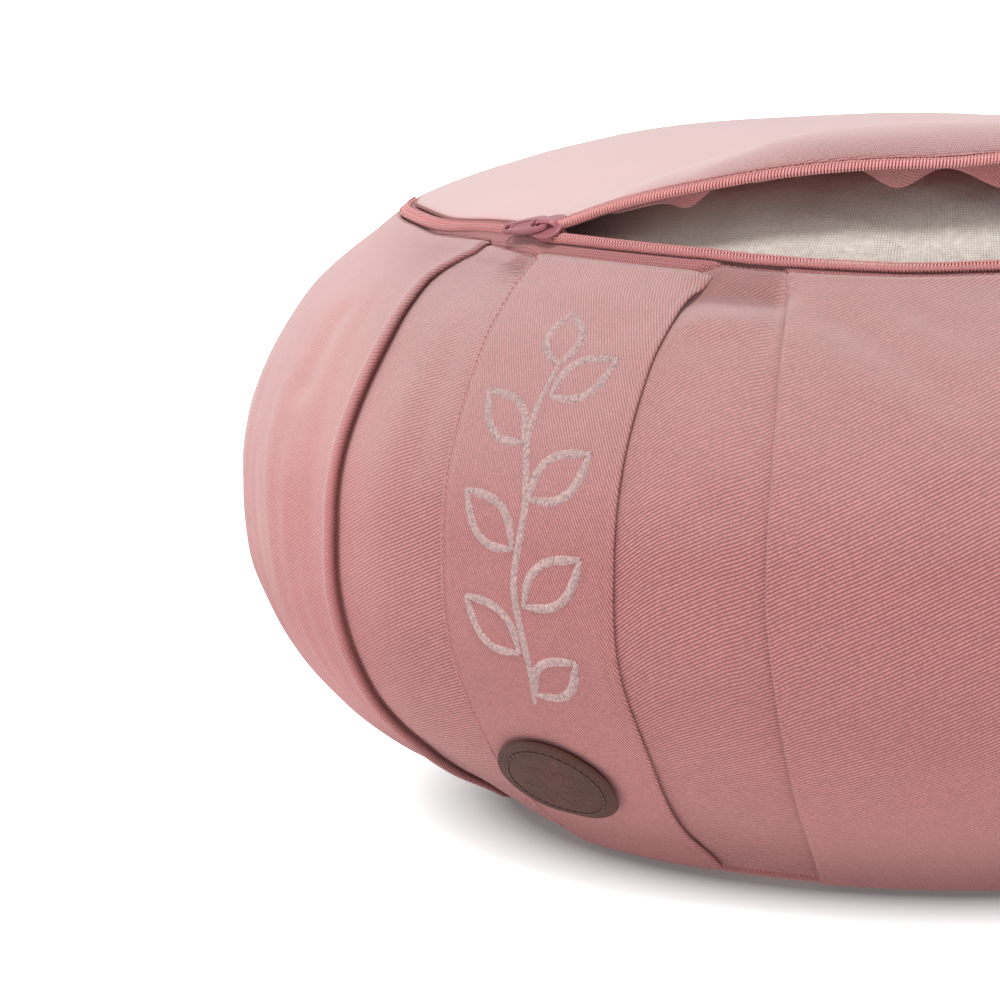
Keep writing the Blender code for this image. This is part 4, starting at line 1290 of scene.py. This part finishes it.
class ZAFU_OT_zip_coils(bpy.types.Operator):
    """Winds both nylon coils, turn by turn, round their cords"""
    bl_idname = "zafu.zip_coils"
    bl_label = "Zip coils"

    def execute(self, context):
        settings = context.scene.zafu_zip
        material = nylon_material(settings.colour)
        turns = int(CHAIN_LENGTH / settings.pitch)
        for side, start, way in (("lower", 0.0, 1.0), ("upper", 0.5, -1.0)):
            count = np.arange(turns * COIL_STEPS + 1) / COIL_STEPS
            angle = mix(CHAIN_LEFT, CHAIN_RIGHT, (count + start) / (turns + 1))
            closed = shut(angle)
            wound = 2 * np.pi * count
            half = mix(*COIL_HALF, closed)
            high = mix(*COIL_HEIGHT, closed)
            level = mix(*COIL_LEVEL, closed)
            swing = np.sign(np.cos(wound)) * np.abs(np.cos(wound)) ** 0.8
            across = coil_middle(side, angle) - way * half * swing
            path = zip_place(side, angle, across, level + high * np.sin(wound))
            line = zip_place(side, angle, coil_middle(side, angle), level)
            ahead = np.gradient(line, axis=0)
            parts = [threads(path[None], settings.wire, sides=6, axis=ahead[None])]
            along = np.linspace(CHAIN_LEFT, CHAIN_RIGHT, CHAIN_STEPS)
            closed = shut(along)
            half, high, level = mix(*COIL_HALF, closed), mix(*COIL_HEIGHT, closed), mix(*COIL_LEVEL, closed)
            core = zip_place(side, along, coil_middle(side, along) + way * 0.3 * half, level - 0.1 * high)
            parts.append(threads(core[None], mix(*CORD_RADIUS, closed), sides=8))
            mesh = join_meshes("zip_coil_" + side + "_turns", parts)
            add_piece("zip_coil_" + side + "_turns", mesh, material, "zip_coil_" + side)
        return {"FINISHED"}


def slider_matrix():
    """X runs along the zip to its open end, Y across it, Z out of the cloth."""
    middle = Vector(zip_place("lower", SLIDER_ANGLE, SLIDER_DROP - ZIP_SHIFT))
    ahead = np.zeros(3)
    for side in ("lower", "upper"):
        for angle, way in ((SLIDER_ANGLE - 1.0, 1.0), (SLIDER_ANGLE, -1.0)):
            ahead += way * zip_place(side, angle, -ZIP_SHIFT)
    x_axis = Vector(ahead).normalized()
    above = zip_place("lower", SLIDER_ANGLE, 0.0, 0.01) - zip_place("lower", SLIDER_ANGLE, 0.0)
    y_axis = Vector(above).cross(x_axis).normalized()
    z_axis = x_axis.cross(y_axis)
    turn = Matrix((x_axis, y_axis, z_axis)).transposed()
    return Matrix.Translation(middle) @ turn.to_4x4()


# Outlines of the slider and its pull, in mm: along the zip to its open end, and across it
SHIELD = ((-4.5, 1.7), (-3.0, 3.2), (0.2, 3.9), (3.2, 3.7), (4.7, 1.9))
POST = ((2.9, -0.7), (4.1, -0.5))
RAIL = ((-2.6, 3.1), (0.4, 3.75), (2.6, 3.7), (2.6, 3.1), (0.4, 3.1), (-2.4, 2.5))
ARCH = (  # along the zip, and up
    (-3.1, 0.0), (-3.0, 1.0), (-2.2, 1.65), (-0.4, 1.8), (1.6, 1.6), (2.7, 0.9), (3.0, -0.1),
)
TAB = ((-14.1, 0.7), (-13.7, 1.35), (-9.5, 2.0), (-4.6, 2.6), (-1.2, 2.3), (0.5, 1.1))
TAB_HOLE = ((-4.2, 0.95), (-2.6, 1.15), (-1.4, 0.95))
TAB_SLIT = ((-13.0, 0.55), (-11.7, 0.6))
TAB_RIM = ((-10.6, 0.7), (-8.0, 1.15), (-5.4, 1.3), (-5.1, 0.0))
PULL_TURN = 6.0


def rounded(points, steps=48):
    """A closed smooth outline, in metres, through a few points in mm."""
    return through([(x * MM, y * MM) for x, y in points], steps, closed=True)[0][:-1]


def both_sides(points, steps=48):
    """The same, through the points and their likes on the other side of the zip's middle line."""
    return rounded([*points, *((x, -y) for x, y in reversed(points) if y)], steps)


def plate(name, outlines, thickness, edge, height):
    """A flat plate with rounded edges; further outlines are its holes."""
    path = bpy.data.curves.new(name, "CURVE")
    path.dimensions = "2D"
    path.fill_mode = "BOTH"
    path.extrude = thickness / 2 - edge
    path.bevel_depth = edge
    path.bevel_resolution = 3
    path.offset = -edge
    for outline in outlines:
        spline = path.splines.new("POLY")
        spline.points.add(len(outline) - 1)
        for point, (x, y) in zip(spline.points, outline):
            point.co = (x, y, 0.0, 1.0)
        spline.use_cyclic_u = True
    holder = bpy.data.objects.new(name, path)
    bpy.context.scene.collection.objects.link(holder)
    evaluated = holder.evaluated_get(bpy.context.evaluated_depsgraph_get())
    mesh = bpy.data.meshes.new_from_object(evaluated)
    bpy.data.objects.remove(holder)
    bpy.data.curves.remove(path)
    mesh.transform(Matrix.Translation((0.0, 0.0, height + thickness / 2)))
    return mesh


def merged(name, meshes, matrix):
    """One mesh of several, in place, with close points welded."""
    edit = bmesh.new()
    for mesh in meshes:
        edit.from_mesh(mesh)
    bmesh.ops.remove_doubles(edit, verts=edit.verts[:], dist=0.000004)
    bmesh.ops.transform(edit, matrix=matrix, verts=edit.verts[:])
    bmesh.ops.recalc_face_normals(edit, faces=edit.faces[:])
    result = bpy.data.meshes.new(name)
    edit.to_mesh(result)
    edit.free()
    result.shade_smooth()
    result.set_sharp_from_angle(angle=math.radians(50.0))
    return result


def bar(name, path, radius, flatness):
    """A rounded bar along a path in the plane of X and Z, wider across than it is thick."""
    points = np.array([(x, 0.0, z) for x, z in path]) * MM
    places, faces = threads(points[None], radius, sides=10, axis=np.array((0.0, 1.0, 0.0)))
    places[:, 1] *= flatness
    mesh = bpy.data.meshes.new(name)
    mesh.from_pydata(places.tolist(), [], faces.tolist())
    return mesh


class ZAFU_OT_zip_slider(bpy.types.Operator):
    """Makes the slider's body and bridge, and the pull that lies along the closed zip"""
    bl_idname = "zafu.zip_slider"
    bl_label = "Slider and pull"

    def execute(self, context):
        material = paint_material(context.scene.zafu_zip.paint)
        place = slider_matrix()
        outline = both_sides(SHIELD)
        body = plate("slider_top", [outline], SLIDER_PLATE, 0.32 * MM, SLIDER_TOP)
        back = plate("slider_back", [outline * (0.98, 0.64)], SLIDER_PLATE, 0.3 * MM, SLIDER_BACK)
        top = SLIDER_TOP + SLIDER_PLATE
        arch = through(ARCH, 22)[0]
        arch[:, 1] += top / MM - 0.15
        bridge = bar("bridge", arch, 0.46 * MM, 1.7)
        post = plate("post", [both_sides(POST, 20)], SLIDER_TOP + 4.4 * MM, 0.1 * MM, -4.4 * MM)
        flanges = []
        for side in (-1.0, 1.0):
            rail = rounded([(x, side * y) for x, y in RAIL], 28)
            flanges.append(plate("flange", [rail], 1.3 * MM, 0.15 * MM, SLIDER_TOP - 1.1 * MM))
        mesh = merged("zip_slider_body", [body, back, bridge, post, *flanges], place)
        add_piece("zip_slider_body", mesh, material, "zip_slider")

        outer = both_sides(TAB, 72)
        hole = both_sides(TAB_HOLE, 30)
        slit = both_sides(TAB_SLIT, 20)
        rim = both_sides(TAB_RIM, 36)
        flat = plate("tab", [outer, hole, slit], 0.85 * MM, 0.22 * MM, top + 0.25 * MM)
        raised = [outer * 0.985, rim, hole * 1.02, slit]
        raised = plate("tab_rim", raised, 0.5 * MM, 0.16 * MM, top + 0.85 * MM)
        place = place @ Matrix.Rotation(math.radians(PULL_TURN), 4, "Z")
        mesh = merged("zip_pull_tab", [flat, raised], place)
        add_piece("zip_pull_tab", mesh, material, "zip_pull")
        return {"FINISHED"}


# Band, motif and patch

BAND_CURVE = through(BAND_LINE, 60)[0]


def band_middle(down):
    return np.interp(down, BAND_CURVE[:, 0], BAND_CURVE[:, 1])


BAND_SEWN = 2.2 * MM              # from its edge to the groove that its sewing pulls in
BAND_EDGE_ROWS = (0.0, 0.35, 0.8, 1.5, 2.2, 2.8, 3.4)     # in mm from its edge
BAND_CREASES = (  # ((left, down), ...) in mm, left width, right width, height
    (((-18.0, 22.0), (-6.0, 16.0), (8.0, 14.0)), 4.0, 5.0, 0.35),
    (((-16.0, 32.0), (-4.0, 25.0), (10.0, 22.0)), 3.0, 4.0, -0.40),
    (((12.0, 60.0), (4.0, 80.0), (6.0, 104.0)), 6.0, 6.0, 0.30),
    (((-20.0, 70.0), (-17.0, 100.0), (-19.0, 128.0)), 3.0, 4.0, -0.30),
)


BAND_RELIEF = relief_map(BAND_CREASES, (-26.0, 0.0), (26.0, WALL_LENGTH / MM))


def band_place(across, down, out=0.0):
    """Places over the band: across runs to the left of its middle, out is above its cloth."""
    across, down = np.broadcast_arrays(np.asarray(across, float), np.asarray(down, float))
    angle = band_middle(down) + np.degrees(across / wall_radius(down))
    soft = read_relief(BAND_RELIEF, across / MM, down * WALL_LENGTH / MM)
    floor = wall_relief(angle, down) - fold_height(down)
    return wall_place(angle, down, floor + GAP + BAND + soft + out)


class ZAFU_OT_band(bpy.types.Operator):
    """Makes the band down the front, with its turned-in edges"""
    bl_idname = "zafu.band"
    bl_label = "Band"

    def execute(self, context):
        cover = context.scene.zafu_cover
        half = BAND_WIDTH / 2
        near_edge = half - np.array(BAND_EDGE_ROWS) * MM
        across = np.concatenate([-near_edge, np.linspace(-20.5, 20.5, 34) * MM, near_edge[::-1]])[None, :]
        start = BAND_START / WALL_LENGTH
        down = np.linspace(start, BAND_END, 110)[:, None]
        sunk = tucked_edge(half - np.abs(across), 0.7 * MM)
        row = np.exp(-(((half - BAND_SEWN - np.abs(across)) / (0.7 * MM)) ** 2))
        puffed = 0.25 * MM * (1.0 - (across / half) ** 2)
        places = band_place(across, down, sunk - 0.30 * MM * row + puffed)
        grid_across, grid_down = np.broadcast_arrays(-across, -down * WALL_LENGTH)
        mesh = grid("band_cloth", places, cloth=np.stack([grid_across, grid_down], axis=-1))
        # painted light: the band's cloth is a copy of the cover's twill, painted 10 % paler for the light on
        # it
        material = twill_material(
            "band_twill", times(cover.colour, 1.10), 90.0 + cover.lean, 0.78 * cover.rib, 0.14 * MM,
            contrast=1.4, sheen=0.25, sheen_and_top_light=(0.36, 0.15),
        )
        piece = add_piece("band_cloth", mesh, material, "label_band")
        thicken(piece, BAND_CLOTH)
        return {"FINISHED"}


SATIN_PITCH = 0.34                # in mm, from one thread to the next
SATIN_TURN = 78.0                 # how far the threads turn from the line that they cover


def satin(line, width, chance):
    """Starts and ends of threads laid side by side across a flat line, in mm; width is its full width."""
    curve, length = through(line, 80)
    count = max(3, int(length / SATIN_PITCH))
    shares = (np.arange(count) + 0.5) / count
    steps = np.arange(81) / 80
    middles = np.stack([np.interp(shares, steps, curve[:, axis]) for axis in range(2)], axis=1)
    ahead = np.stack([np.interp(shares, steps, np.gradient(curve[:, axis])) for axis in range(2)], axis=1)
    ahead /= np.linalg.norm(ahead, axis=1)[:, None]
    turn = np.radians(SATIN_TURN + chance.uniform(-6.0, 6.0, count))
    over = np.stack([
        ahead[:, 0] * np.cos(turn) - ahead[:, 1] * np.sin(turn),
        ahead[:, 0] * np.sin(turn) + ahead[:, 1] * np.cos(turn),
    ], axis=1)
    taper = np.minimum(1.0, 0.45 + 3.0 * np.minimum(shares, 1.0 - shares))
    half = (width / 2 * taper * chance.uniform(0.92, 1.08, count))[:, None]
    return middles - over * half, middles + over * half


STEM = ((-1.5, 37.0), (1.2, 54.0), (-1.2, 72.0), (1.2, 90.0), (-0.8, 108.0), (0.5, 121.0))  # across, down, mm
STEM_WIDTH = 2.2
LEAF_WIDTH = 2.5
LEAVES = (  # root, how far out and up its tip is, how round its outline is, all in mm
    ((-1.2, 46.0), (-14.5, -11.0), 4.6),
    ((1.0, 58.0), (14.5, -12.0), 4.6),
    ((-1.0, 71.0), (-15.0, -12.0), 4.8),
    ((0.8, 83.0), (15.0, -12.5), 4.8),
    ((-0.4, 96.0), (-15.5, -12.5), 4.8),
    ((0.2, 108.0), (15.0, -12.5), 4.8),
    ((0.4, 119.0), (-14.0, -10.5), 4.4),
    ((-1.6, 38.0), (3.0, -14.5), 4.6),
)


def sprig(chance):
    """The threads of a plain sprig: a stem and the outlines of its leaves, in mm across and down."""
    strokes = [satin(STEM, STEM_WIDTH, chance)]
    for root, run, bulge in LEAVES:
        root, run = np.array(root), np.array(run)
        beside = np.array((-run[1], run[0])) / np.linalg.norm(run)
        start = root + 0.06 * run
        for side in (-1.0, 1.0):
            line = [
                start, start + 0.30 * run + side * 0.90 * bulge * beside,
                start + 0.62 * run + side * 0.92 * bulge * beside, start + run,
            ]
            strokes.append(satin(line, LEAF_WIDTH, chance))
    return tuple(np.concatenate(ends) for ends in zip(*strokes))


SATIN_THREAD = 0.185 * MM
SATIN_SHARES = np.array((0.0, 0.10, 0.32, 0.68, 0.90, 1.0))
SATIN_RISES = np.array((-0.35, 0.20, 0.55, 0.55, 0.20, -0.35)) * MM


class ZAFU_OT_band_motif(bpy.types.Operator):
    """Stitches a plain leaf sprig on the band, thread by thread"""
    bl_idname = "zafu.band_motif"
    bl_label = "Stitched sprig"

    def execute(self, context):
        trim = context.scene.zafu_trim
        chance = np.random.default_rng(11)
        starts, ends = sprig(chance)
        flat = mix(starts[:, None], ends[:, None], SATIN_SHARES[None, :, None])
        rises = SATIN_RISES[None, :] * chance.uniform(0.8, 1.15, len(starts))[:, None]
        paths = band_place(flat[..., 0] * MM, flat[..., 1] * MM / WALL_LENGTH, rises)
        mesh = join_meshes("band_sprig", [threads(paths, SATIN_THREAD, sides=4)])
        material = thread_material("motif_thread", times(trim.thread, 1.08), times(trim.thread, 0.50), 0.3)
        add_piece("band_sprig", mesh, material)
        return {"FINISHED"}


def patch_place(spot, out):
    """A place on the patch: spot is across and down from its middle, in metres."""
    spot = np.asarray(spot, float)
    return band_place(PATCH_SIDE + spot[..., 0], PATCH_PLACE + spot[..., 1] / WALL_LENGTH, GAP + PATCH + out)


PETALS = 6
PETAL_REACH = 0.50                # of the patch's radius, as the next three are
PATCH_STITCHED = 0.80
PATCH_LINE = 0.915
PATCH_EDGE = 0.93                 # where its edge begins to turn down
PATCH_TURNS = 144


def pressed(rings, where, width, depth):
    """How far a pressed line lowers the leather."""
    return -depth * MM * np.exp(-(((rings - where) / width) ** 2))


class ZAFU_OT_leather_patch(bpy.types.Operator):
    """Makes the round leather patch with its pressed edge line and petals, and its ring of stitches"""
    bl_idname = "zafu.leather_patch"
    bl_label = "Leather patch"

    def execute(self, context):
        trim = context.scene.zafu_trim
        turns = np.linspace(0.0, 2 * np.pi, PATCH_TURNS, endpoint=False)[None, :]
        rings = np.concatenate([np.linspace(0.02, PATCH_EDGE, 60), (0.95, 0.97, 0.985, 0.995, 1.0)])[:, None]
        rim = np.clip((rings - PATCH_EDGE) / (1.0 - PATCH_EDGE), 0.0, 1.0)
        petal = PETAL_REACH * np.abs(np.cos(turns * PETALS / 2)) ** 0.8
        out = -0.55 * MM * rim**2.2
        out = out + pressed(rings, PATCH_LINE, 0.018, 0.16) + pressed(rings, PATCH_STITCHED, 0.03, 0.22)
        out = out + pressed(rings, petal, 0.022, 0.20) * smooth(0.10, 0.2, petal)
        out = out - 0.05 * MM * waves(rings * np.cos(turns), rings * np.sin(turns), 0.5, 5)
        radius = rings * PATCH_RADIUS
        across, down = radius * np.cos(turns), radius * np.sin(turns)
        top = patch_place(np.stack(np.broadcast_arrays(across, down), axis=-1), out)
        mesh = grid("leather_disc", top, closed=True)
        close_middle(mesh, PATCH_TURNS)
        material = leather_material(trim.leather)
        piece = add_piece("leather_disc", mesh, material, "leather_patch")
        thicken(piece, LEATHER)

        count = 40
        ring = PATCH_STITCHED * PATCH_RADIUS
        turns = 2 * np.pi * (np.arange(count)[:, None] + np.array((0.14, 0.86))) / count
        spots = ring * np.stack([np.cos(turns), np.sin(turns)], axis=-1)
        parts = [stitches(patch_place, spots[:, 0], spots[:, 1], 0.20 * MM, 0.06 * MM)]
        mesh = join_meshes("patch_stitches", parts)
        material = thread_material("patch_thread", times(trim.leather, 1.1), times(trim.leather, 0.45), 0.2)
        add_piece("patch_stitches", mesh, material)
        return {"FINISHED"}


# Sewing

def stitch_line(length, stitch):
    """Shares along a line where each stitch starts and ends."""
    count = max(2, int(length / stitch))
    return (np.arange(count) + 0.10) / count, (np.arange(count) + 0.84) / count


def stitch_row(place, first, last, level, length, stitch, radius, height):
    """Stitches from one place on a line to another; level is the line's distance across, height theirs."""
    starts, ends = (mix(first, last, shares) for shares in stitch_line(length, stitch))
    starts, ends = (np.stack([spots, np.full(len(spots), level)], axis=1) for spots in (starts, ends))
    return stitches(place, starts, ends, radius, height)


COIL_STITCH = 0.8 * MM
COIL_ROWS = (-0.12, 0.92)         # where the coil's two rows of stitches are, as shares of its half width


class ZAFU_OT_sewing(bpy.types.Operator):
    """Sews the band's left edge and the cloth's edges along the zip, stitch by stitch"""
    bl_idname = "zafu.sewing"
    bl_label = "Sewing"

    def execute(self, context):
        trim = context.scene.zafu_trim
        cover = context.scene.zafu_cover
        colours = context.scene.zafu_zip

        def on_band(spot, out):
            return band_place(spot[..., 1], spot[..., 0], out - 0.16 * MM)

        def on_wall(spot, out):
            return edge_place("lower", spot[..., 0], spot[..., 1], out)

        def on_crown(spot, out):
            return edge_place("upper", spot[..., 0], spot[..., 1], out)

        start, end = (BAND_START + 1.0 * MM) / WALL_LENGTH, 0.985
        length = (end - start) * WALL_LENGTH
        arc = math.radians(CHAIN_LEFT - SLIDER_ANGLE) * RIM_RADIUS
        stitch = trim.stitch
        rows = (  # on what, from, to, across, length, length of a stitch, radius and height of its thread
            (on_band, start, end, BAND_WIDTH / 2 - 1.3 * MM, length, stitch, 0.24 * MM, 0.20 * MM),
            (on_crown, CHAIN_LEFT, SLIDER_ANGLE, 0.3 * MM, arc, 1.0 * MM, 0.15 * MM, 0.05 * MM),
            (on_crown, SLIDER_ANGLE - 5.0, CHAIN_RIGHT, 0.6 * MM, 2.2 * arc, stitch, 0.13 * MM, 0.03 * MM),
            (on_wall, CHAIN_LEFT, 53.0, 0.5 * MM, 0.6 * arc, stitch, 0.13 * MM, 0.03 * MM),
            (on_wall, 49.0, CHAIN_RIGHT, 0.5 * MM, 2.6 * arc, stitch, 0.15 * MM, 0.05 * MM),
        )
        mesh = join_meshes("cover_stitches", [stitch_row(*row) for row in rows])
        light, dark = times(cover.colour, 1.20), times(cover.colour, 0.75)
        material = thread_material("cover_thread", light, dark, 0.4)
        add_piece("cover_stitches", mesh, material)

        parts = []
        count = int(CHAIN_LENGTH / COIL_STITCH)
        shares = (np.arange(count)[:, None] + STITCH_SHARES[None, :]) / count
        angle = mix(CHAIN_LEFT, CHAIN_RIGHT, shares)
        closed = shut(angle)
        for side, way in (("lower", 1.0), ("upper", -1.0)):
            for row in COIL_ROWS:
                across = coil_middle(side, angle) + way * row * mix(*COIL_HALF, closed)
                rise = mix(*COIL_LEVEL, closed) + mix(*COIL_HEIGHT, closed) + 0.20 * MM
                path = zip_place(side, angle, across, rise + 0.10 * MM * STITCH_RISES[None, :])
                parts.append(threads(path, 0.13 * MM * STITCH_WIDTHS, sides=4))
        mesh = join_meshes("coil_stitches", parts)
        light, dark = times(colours.colour, 1.15), times(colours.colour, 0.75)
        material = thread_material("coil_thread", light, dark, 0.3)
        add_piece("coil_stitches", mesh, material)
        return {"FINISHED"}


def pleat_level(angle, down):
    """How far the pleat floors lie below the outer face at these places, without the rolls."""
    angle = np.asarray(angle, float) % 360.0
    depth = np.zeros(np.broadcast(angle, down).shape)
    folds = all_folds()
    for number, fold in enumerate(folds):
        if fold[1] != 1:
            continue
        following = folds[(number + 1) % len(folds)]
        first = fold_angle(fold, down)
        last = fold_angle(following, down)
        inside = smooth(first - 0.1, first + 0.3, angle) * (1.0 - smooth(last - 0.3, last + 0.1, angle))
        depth = depth + inside
    return depth * fold_height(down)


SEWN_IN = 0.15 * MM               # how far the zip's sewing sinks into the cloth


def edge_place(side, angle, back, out):
    """A place on the cloth, back from its edge along the zip."""
    if side == "upper":
        across = cloth_edge(angle, UPPER_EDGES) + back
        return crown_place(angle, 1.0 - CROWN_EDGE_RUN * across / RIM_RADIUS, out - SEWN_IN)
    down = (cloth_edge(angle) + back) / WALL_LENGTH
    return wall_place(angle, down, out - pleat_level(angle, down) - SEWN_IN)


FRILLS = (  # middle angle, half width in degrees, hang in mm of the top panel's raw edge
    (26.0, 2.2, 3.8),
    (3.4, 3.0, 4.3),
    (-8.0, 4.6, 6.4),
    (-19.0, 4.0, 4.5),
    (-31.0, 6.0, 5.0),
    (-46.0, 6.0, 4.0),
)
FRILL_START = -6.2 * MM           # from the lifted edge, towards the middle
FRILL_WIDTH = 0.008


class ZAFU_OT_seam_allowance(bpy.types.Operator):
    """Makes the wavy allowance of the top panel that hangs inside the open zip"""
    bl_idname = "zafu.seam_allowance"
    bl_label = "Seam allowance"

    def execute(self, context):
        cover = context.scene.zafu_cover
        angle = np.linspace(OPEN_LEFT - 4.0, OPEN_RIGHT + 6.0, 300)
        hang = np.zeros(angle.shape)
        for middle, half, drop in FRILLS:
            hang = hang + drop * np.exp(-(((angle - middle) / half) ** 2))
        hang = hang * MM * smooth(0.0, 0.3, openness(angle))
        wave = 1.2 * MM * np.sin(np.radians(angle) * 26.0)
        rows = []
        for share in np.linspace(0.0, 1.0, 8):
            across = FRILL_START + (1.0 * MM + wave * share) * share
            place = zip_place("upper", angle, across, -2.5 * MM - 0.8 * MM * share)
            place[:, 2] -= hang * share
            rows.append(place)
        places = np.stack(rows)
        length = math.radians(angle[0] - angle[-1]) * RIM_RADIUS
        along, across = np.meshgrid(np.linspace(0.0, length, len(angle)), np.linspace(0.0, FRILL_WIDTH, 8))
        mesh = grid("top_panel_allowance", places, cloth=np.stack([along, across], axis=-1))
        material = twill_material("allowance_twill", cover.colour, 40.0, cover.rib, 0.10 * MM)
        piece = add_piece("top_panel_allowance", mesh, material)
        thicken(piece, 0.5 * MM)
        return {"FINISHED"}


# Stage

CAMERA_PLACE = (0.0, -1.0, 0.240)
CAMERA_YAW = 6.46                 # towards the left
CAMERA_PITCH = 9.27               # below level
CAMERA_LENS = 136.98              # in mm, on a sensor of this width
SENSOR = 36.0
FLOOR_REACH = 40.0
FLOOR_DROP = 0.3 * MM             # air under the cushion
FLOOR_GLOW = 0.36                 # what the floor gives back to the cushion besides the lights
LIGHTS = (  # name, the way that its light travels, strength, how wide it is in degrees
    ("overhead", (0.16, 0.47, -1.0), 2.08, 18.0),
    ("front_left", (0.62, 0.60, -0.45), 0.36, 35.0),
    ("front_right", (-0.35, 0.75, -0.45), 0.12, 50.0),
    ("behind", (0.15, -0.80, -0.75), 0.60, 50.0),
)
WORLD_STRENGTH = 0.34


def grey(level):
    return (level, level, level, 1.0)


def floor_material():
    """A pale matt floor, white to the camera but for the cushion's soft shadow round its foot, with a painted
    contact shadow close to the foot and, to the camera, a cyan tint against the cushion's pink light in that
    shadow.
    """
    material, tree, shader = new_material("pale_floor")
    place = in_space(tree)
    mottle = tree.noise(place, 3.0)
    seen = tree.add("ShaderNodeLightPath").outputs["Is Camera Ray"]
    # to the camera the floor is tinted cyan, against the cushion's pink light in its shadow
    near = tree.blend(seen, (0.86, 0.87, 0.87, 1.0), (0.66, 0.92, 0.92, 1.0))
    plain = tree.blend(tree.math("MULTIPLY", mottle, 0.1), near, grey(0.80))
    length = tree.add("ShaderNodeVectorMath", operation="LENGTH")
    tree.put(length.inputs[0], place)
    away = tree.fit(length.outputs["Value"], FOOT_RADIUS + 0.006, FOOT_RADIUS + 0.041, 0.10, 1.0)
    # painted contact shadow close to the foot, seen only by the camera
    contact_shadow = tree.fit(length.outputs["Value"], FOOT_RADIUS + 0.003, FOOT_RADIUS + 0.018, 0.45, 0.0)
    glow = tree.math("MULTIPLY_ADD", seen, -FLOOR_GLOW, FLOOR_GLOW)
    glow = tree.math("MAXIMUM", tree.math("MULTIPLY", seen, away), glow)
    tree.put(shader.inputs["Base Color"], tree.blend(tree.math("MULTIPLY", seen, contact_shadow), plain, grey(0.06)))
    tree.put(shader.inputs["Roughness"], tree.fit(mottle, 0.0, 1.0, 0.85, 0.95))
    tree.put(shader.inputs["Emission Color"], tree.blend(glow, grey(0.0), grey(1.0)))
    shader.inputs["Emission Strength"].default_value = 1.0
    return material


class ZAFU_OT_stage(bpy.types.Operator):
    """Sets the pale floor, the soft lights and the camera"""
    bl_idname = "zafu.stage"
    bl_label = "Floor, lights and camera"

    def execute(self, context):
        scene = context.scene
        floor_mesh = bpy.data.meshes.new("floor")
        square = ((-1, -1), (1, -1), (1, 1), (-1, 1))
        corners = [(x * FLOOR_REACH, y * FLOOR_REACH, -FLOOR_DROP) for x, y in square]
        floor_mesh.from_pydata(corners, [], [(0, 1, 2, 3)])
        floor = bpy.data.objects.new("floor", floor_mesh)
        scene.collection.objects.link(floor)
        floor_mesh.materials.append(floor_material())

        world = bpy.data.worlds.new("studio")
        world.use_nodes = True
        background = world.node_tree.nodes["Background"]
        background.inputs["Color"].default_value = grey(1.0)
        background.inputs["Strength"].default_value = WORLD_STRENGTH
        scene.world = world
        for name, way, strength, spread in LIGHTS:
            self.soft_light(scene, name, way, strength, spread)

        camera_data = bpy.data.cameras.new("camera")
        camera_data.lens = CAMERA_LENS
        camera_data.sensor_width = SENSOR
        camera_data.clip_start = 0.05
        camera = bpy.data.objects.new("camera", camera_data)
        scene.collection.objects.link(camera)
        camera.location = CAMERA_PLACE
        camera.rotation_euler = (math.radians(90.0 - CAMERA_PITCH), 0.0, math.radians(CAMERA_YAW))
        scene.camera = camera
        scene.view_settings.view_transform = "Standard"
        return {"FINISHED"}

    @staticmethod
    def soft_light(scene, name, way, strength, spread):
        data = bpy.data.lights.new(name, "SUN")
        data.energy = strength
        data.angle = math.radians(spread)
        lamp = bpy.data.objects.new(name, data)
        scene.collection.objects.link(lamp)
        lamp.rotation_euler = Vector(way).to_track_quat("-Z", "Y").to_euler()


class ZAFU_PT_panel(bpy.types.Panel):
    """Lists the settings and the steps that make the cushion"""
    bl_idname = "ZAFU_PT_panel"
    bl_label = "Zafu cushion"
    bl_space_type = "VIEW_3D"
    bl_region_type = "UI"
    bl_category = "Zafu"

    def draw(self, context):
        for settings in (context.scene.zafu_cover, context.scene.zafu_zip, context.scene.zafu_trim):
            for name in settings.__annotations__:
                self.layout.prop(settings, name)
        for step in STEPS:
            self.layout.operator(step.bl_idname)


STEPS = (
    ZAFU_OT_inner_cushion,
    ZAFU_OT_side_wall,
    ZAFU_OT_seam_allowance,
    ZAFU_OT_top_panel,
    ZAFU_OT_bottom_panel,
    ZAFU_OT_zip_tapes,
    ZAFU_OT_zip_coils,
    ZAFU_OT_zip_slider,
    ZAFU_OT_band,
    ZAFU_OT_band_motif,
    ZAFU_OT_leather_patch,
    ZAFU_OT_sewing,
    ZAFU_OT_stage,
)
SETTINGS = (("zafu_cover", ZafuCover), ("zafu_zip", ZafuZip), ("zafu_trim", ZafuTrim))


def register():
    for name, kind in SETTINGS:
        bpy.utils.register_class(kind)
        setattr(bpy.types.Scene, name, bpy.props.PointerProperty(type=kind))
    for kind in (*STEPS, ZAFU_PT_panel):
        bpy.utils.register_class(kind)


def unregister():
    for kind in reversed((*STEPS, ZAFU_PT_panel)):
        bpy.utils.unregister_class(kind)
    for name, kind in reversed(SETTINGS):
        delattr(bpy.types.Scene, name)
        bpy.utils.unregister_class(kind)


def main():
    register()
    for step in STEPS:
        area, action = step.bl_idname.split(".")
        getattr(getattr(bpy.ops, area), action)()


if __name__ == "__main__":
    main()
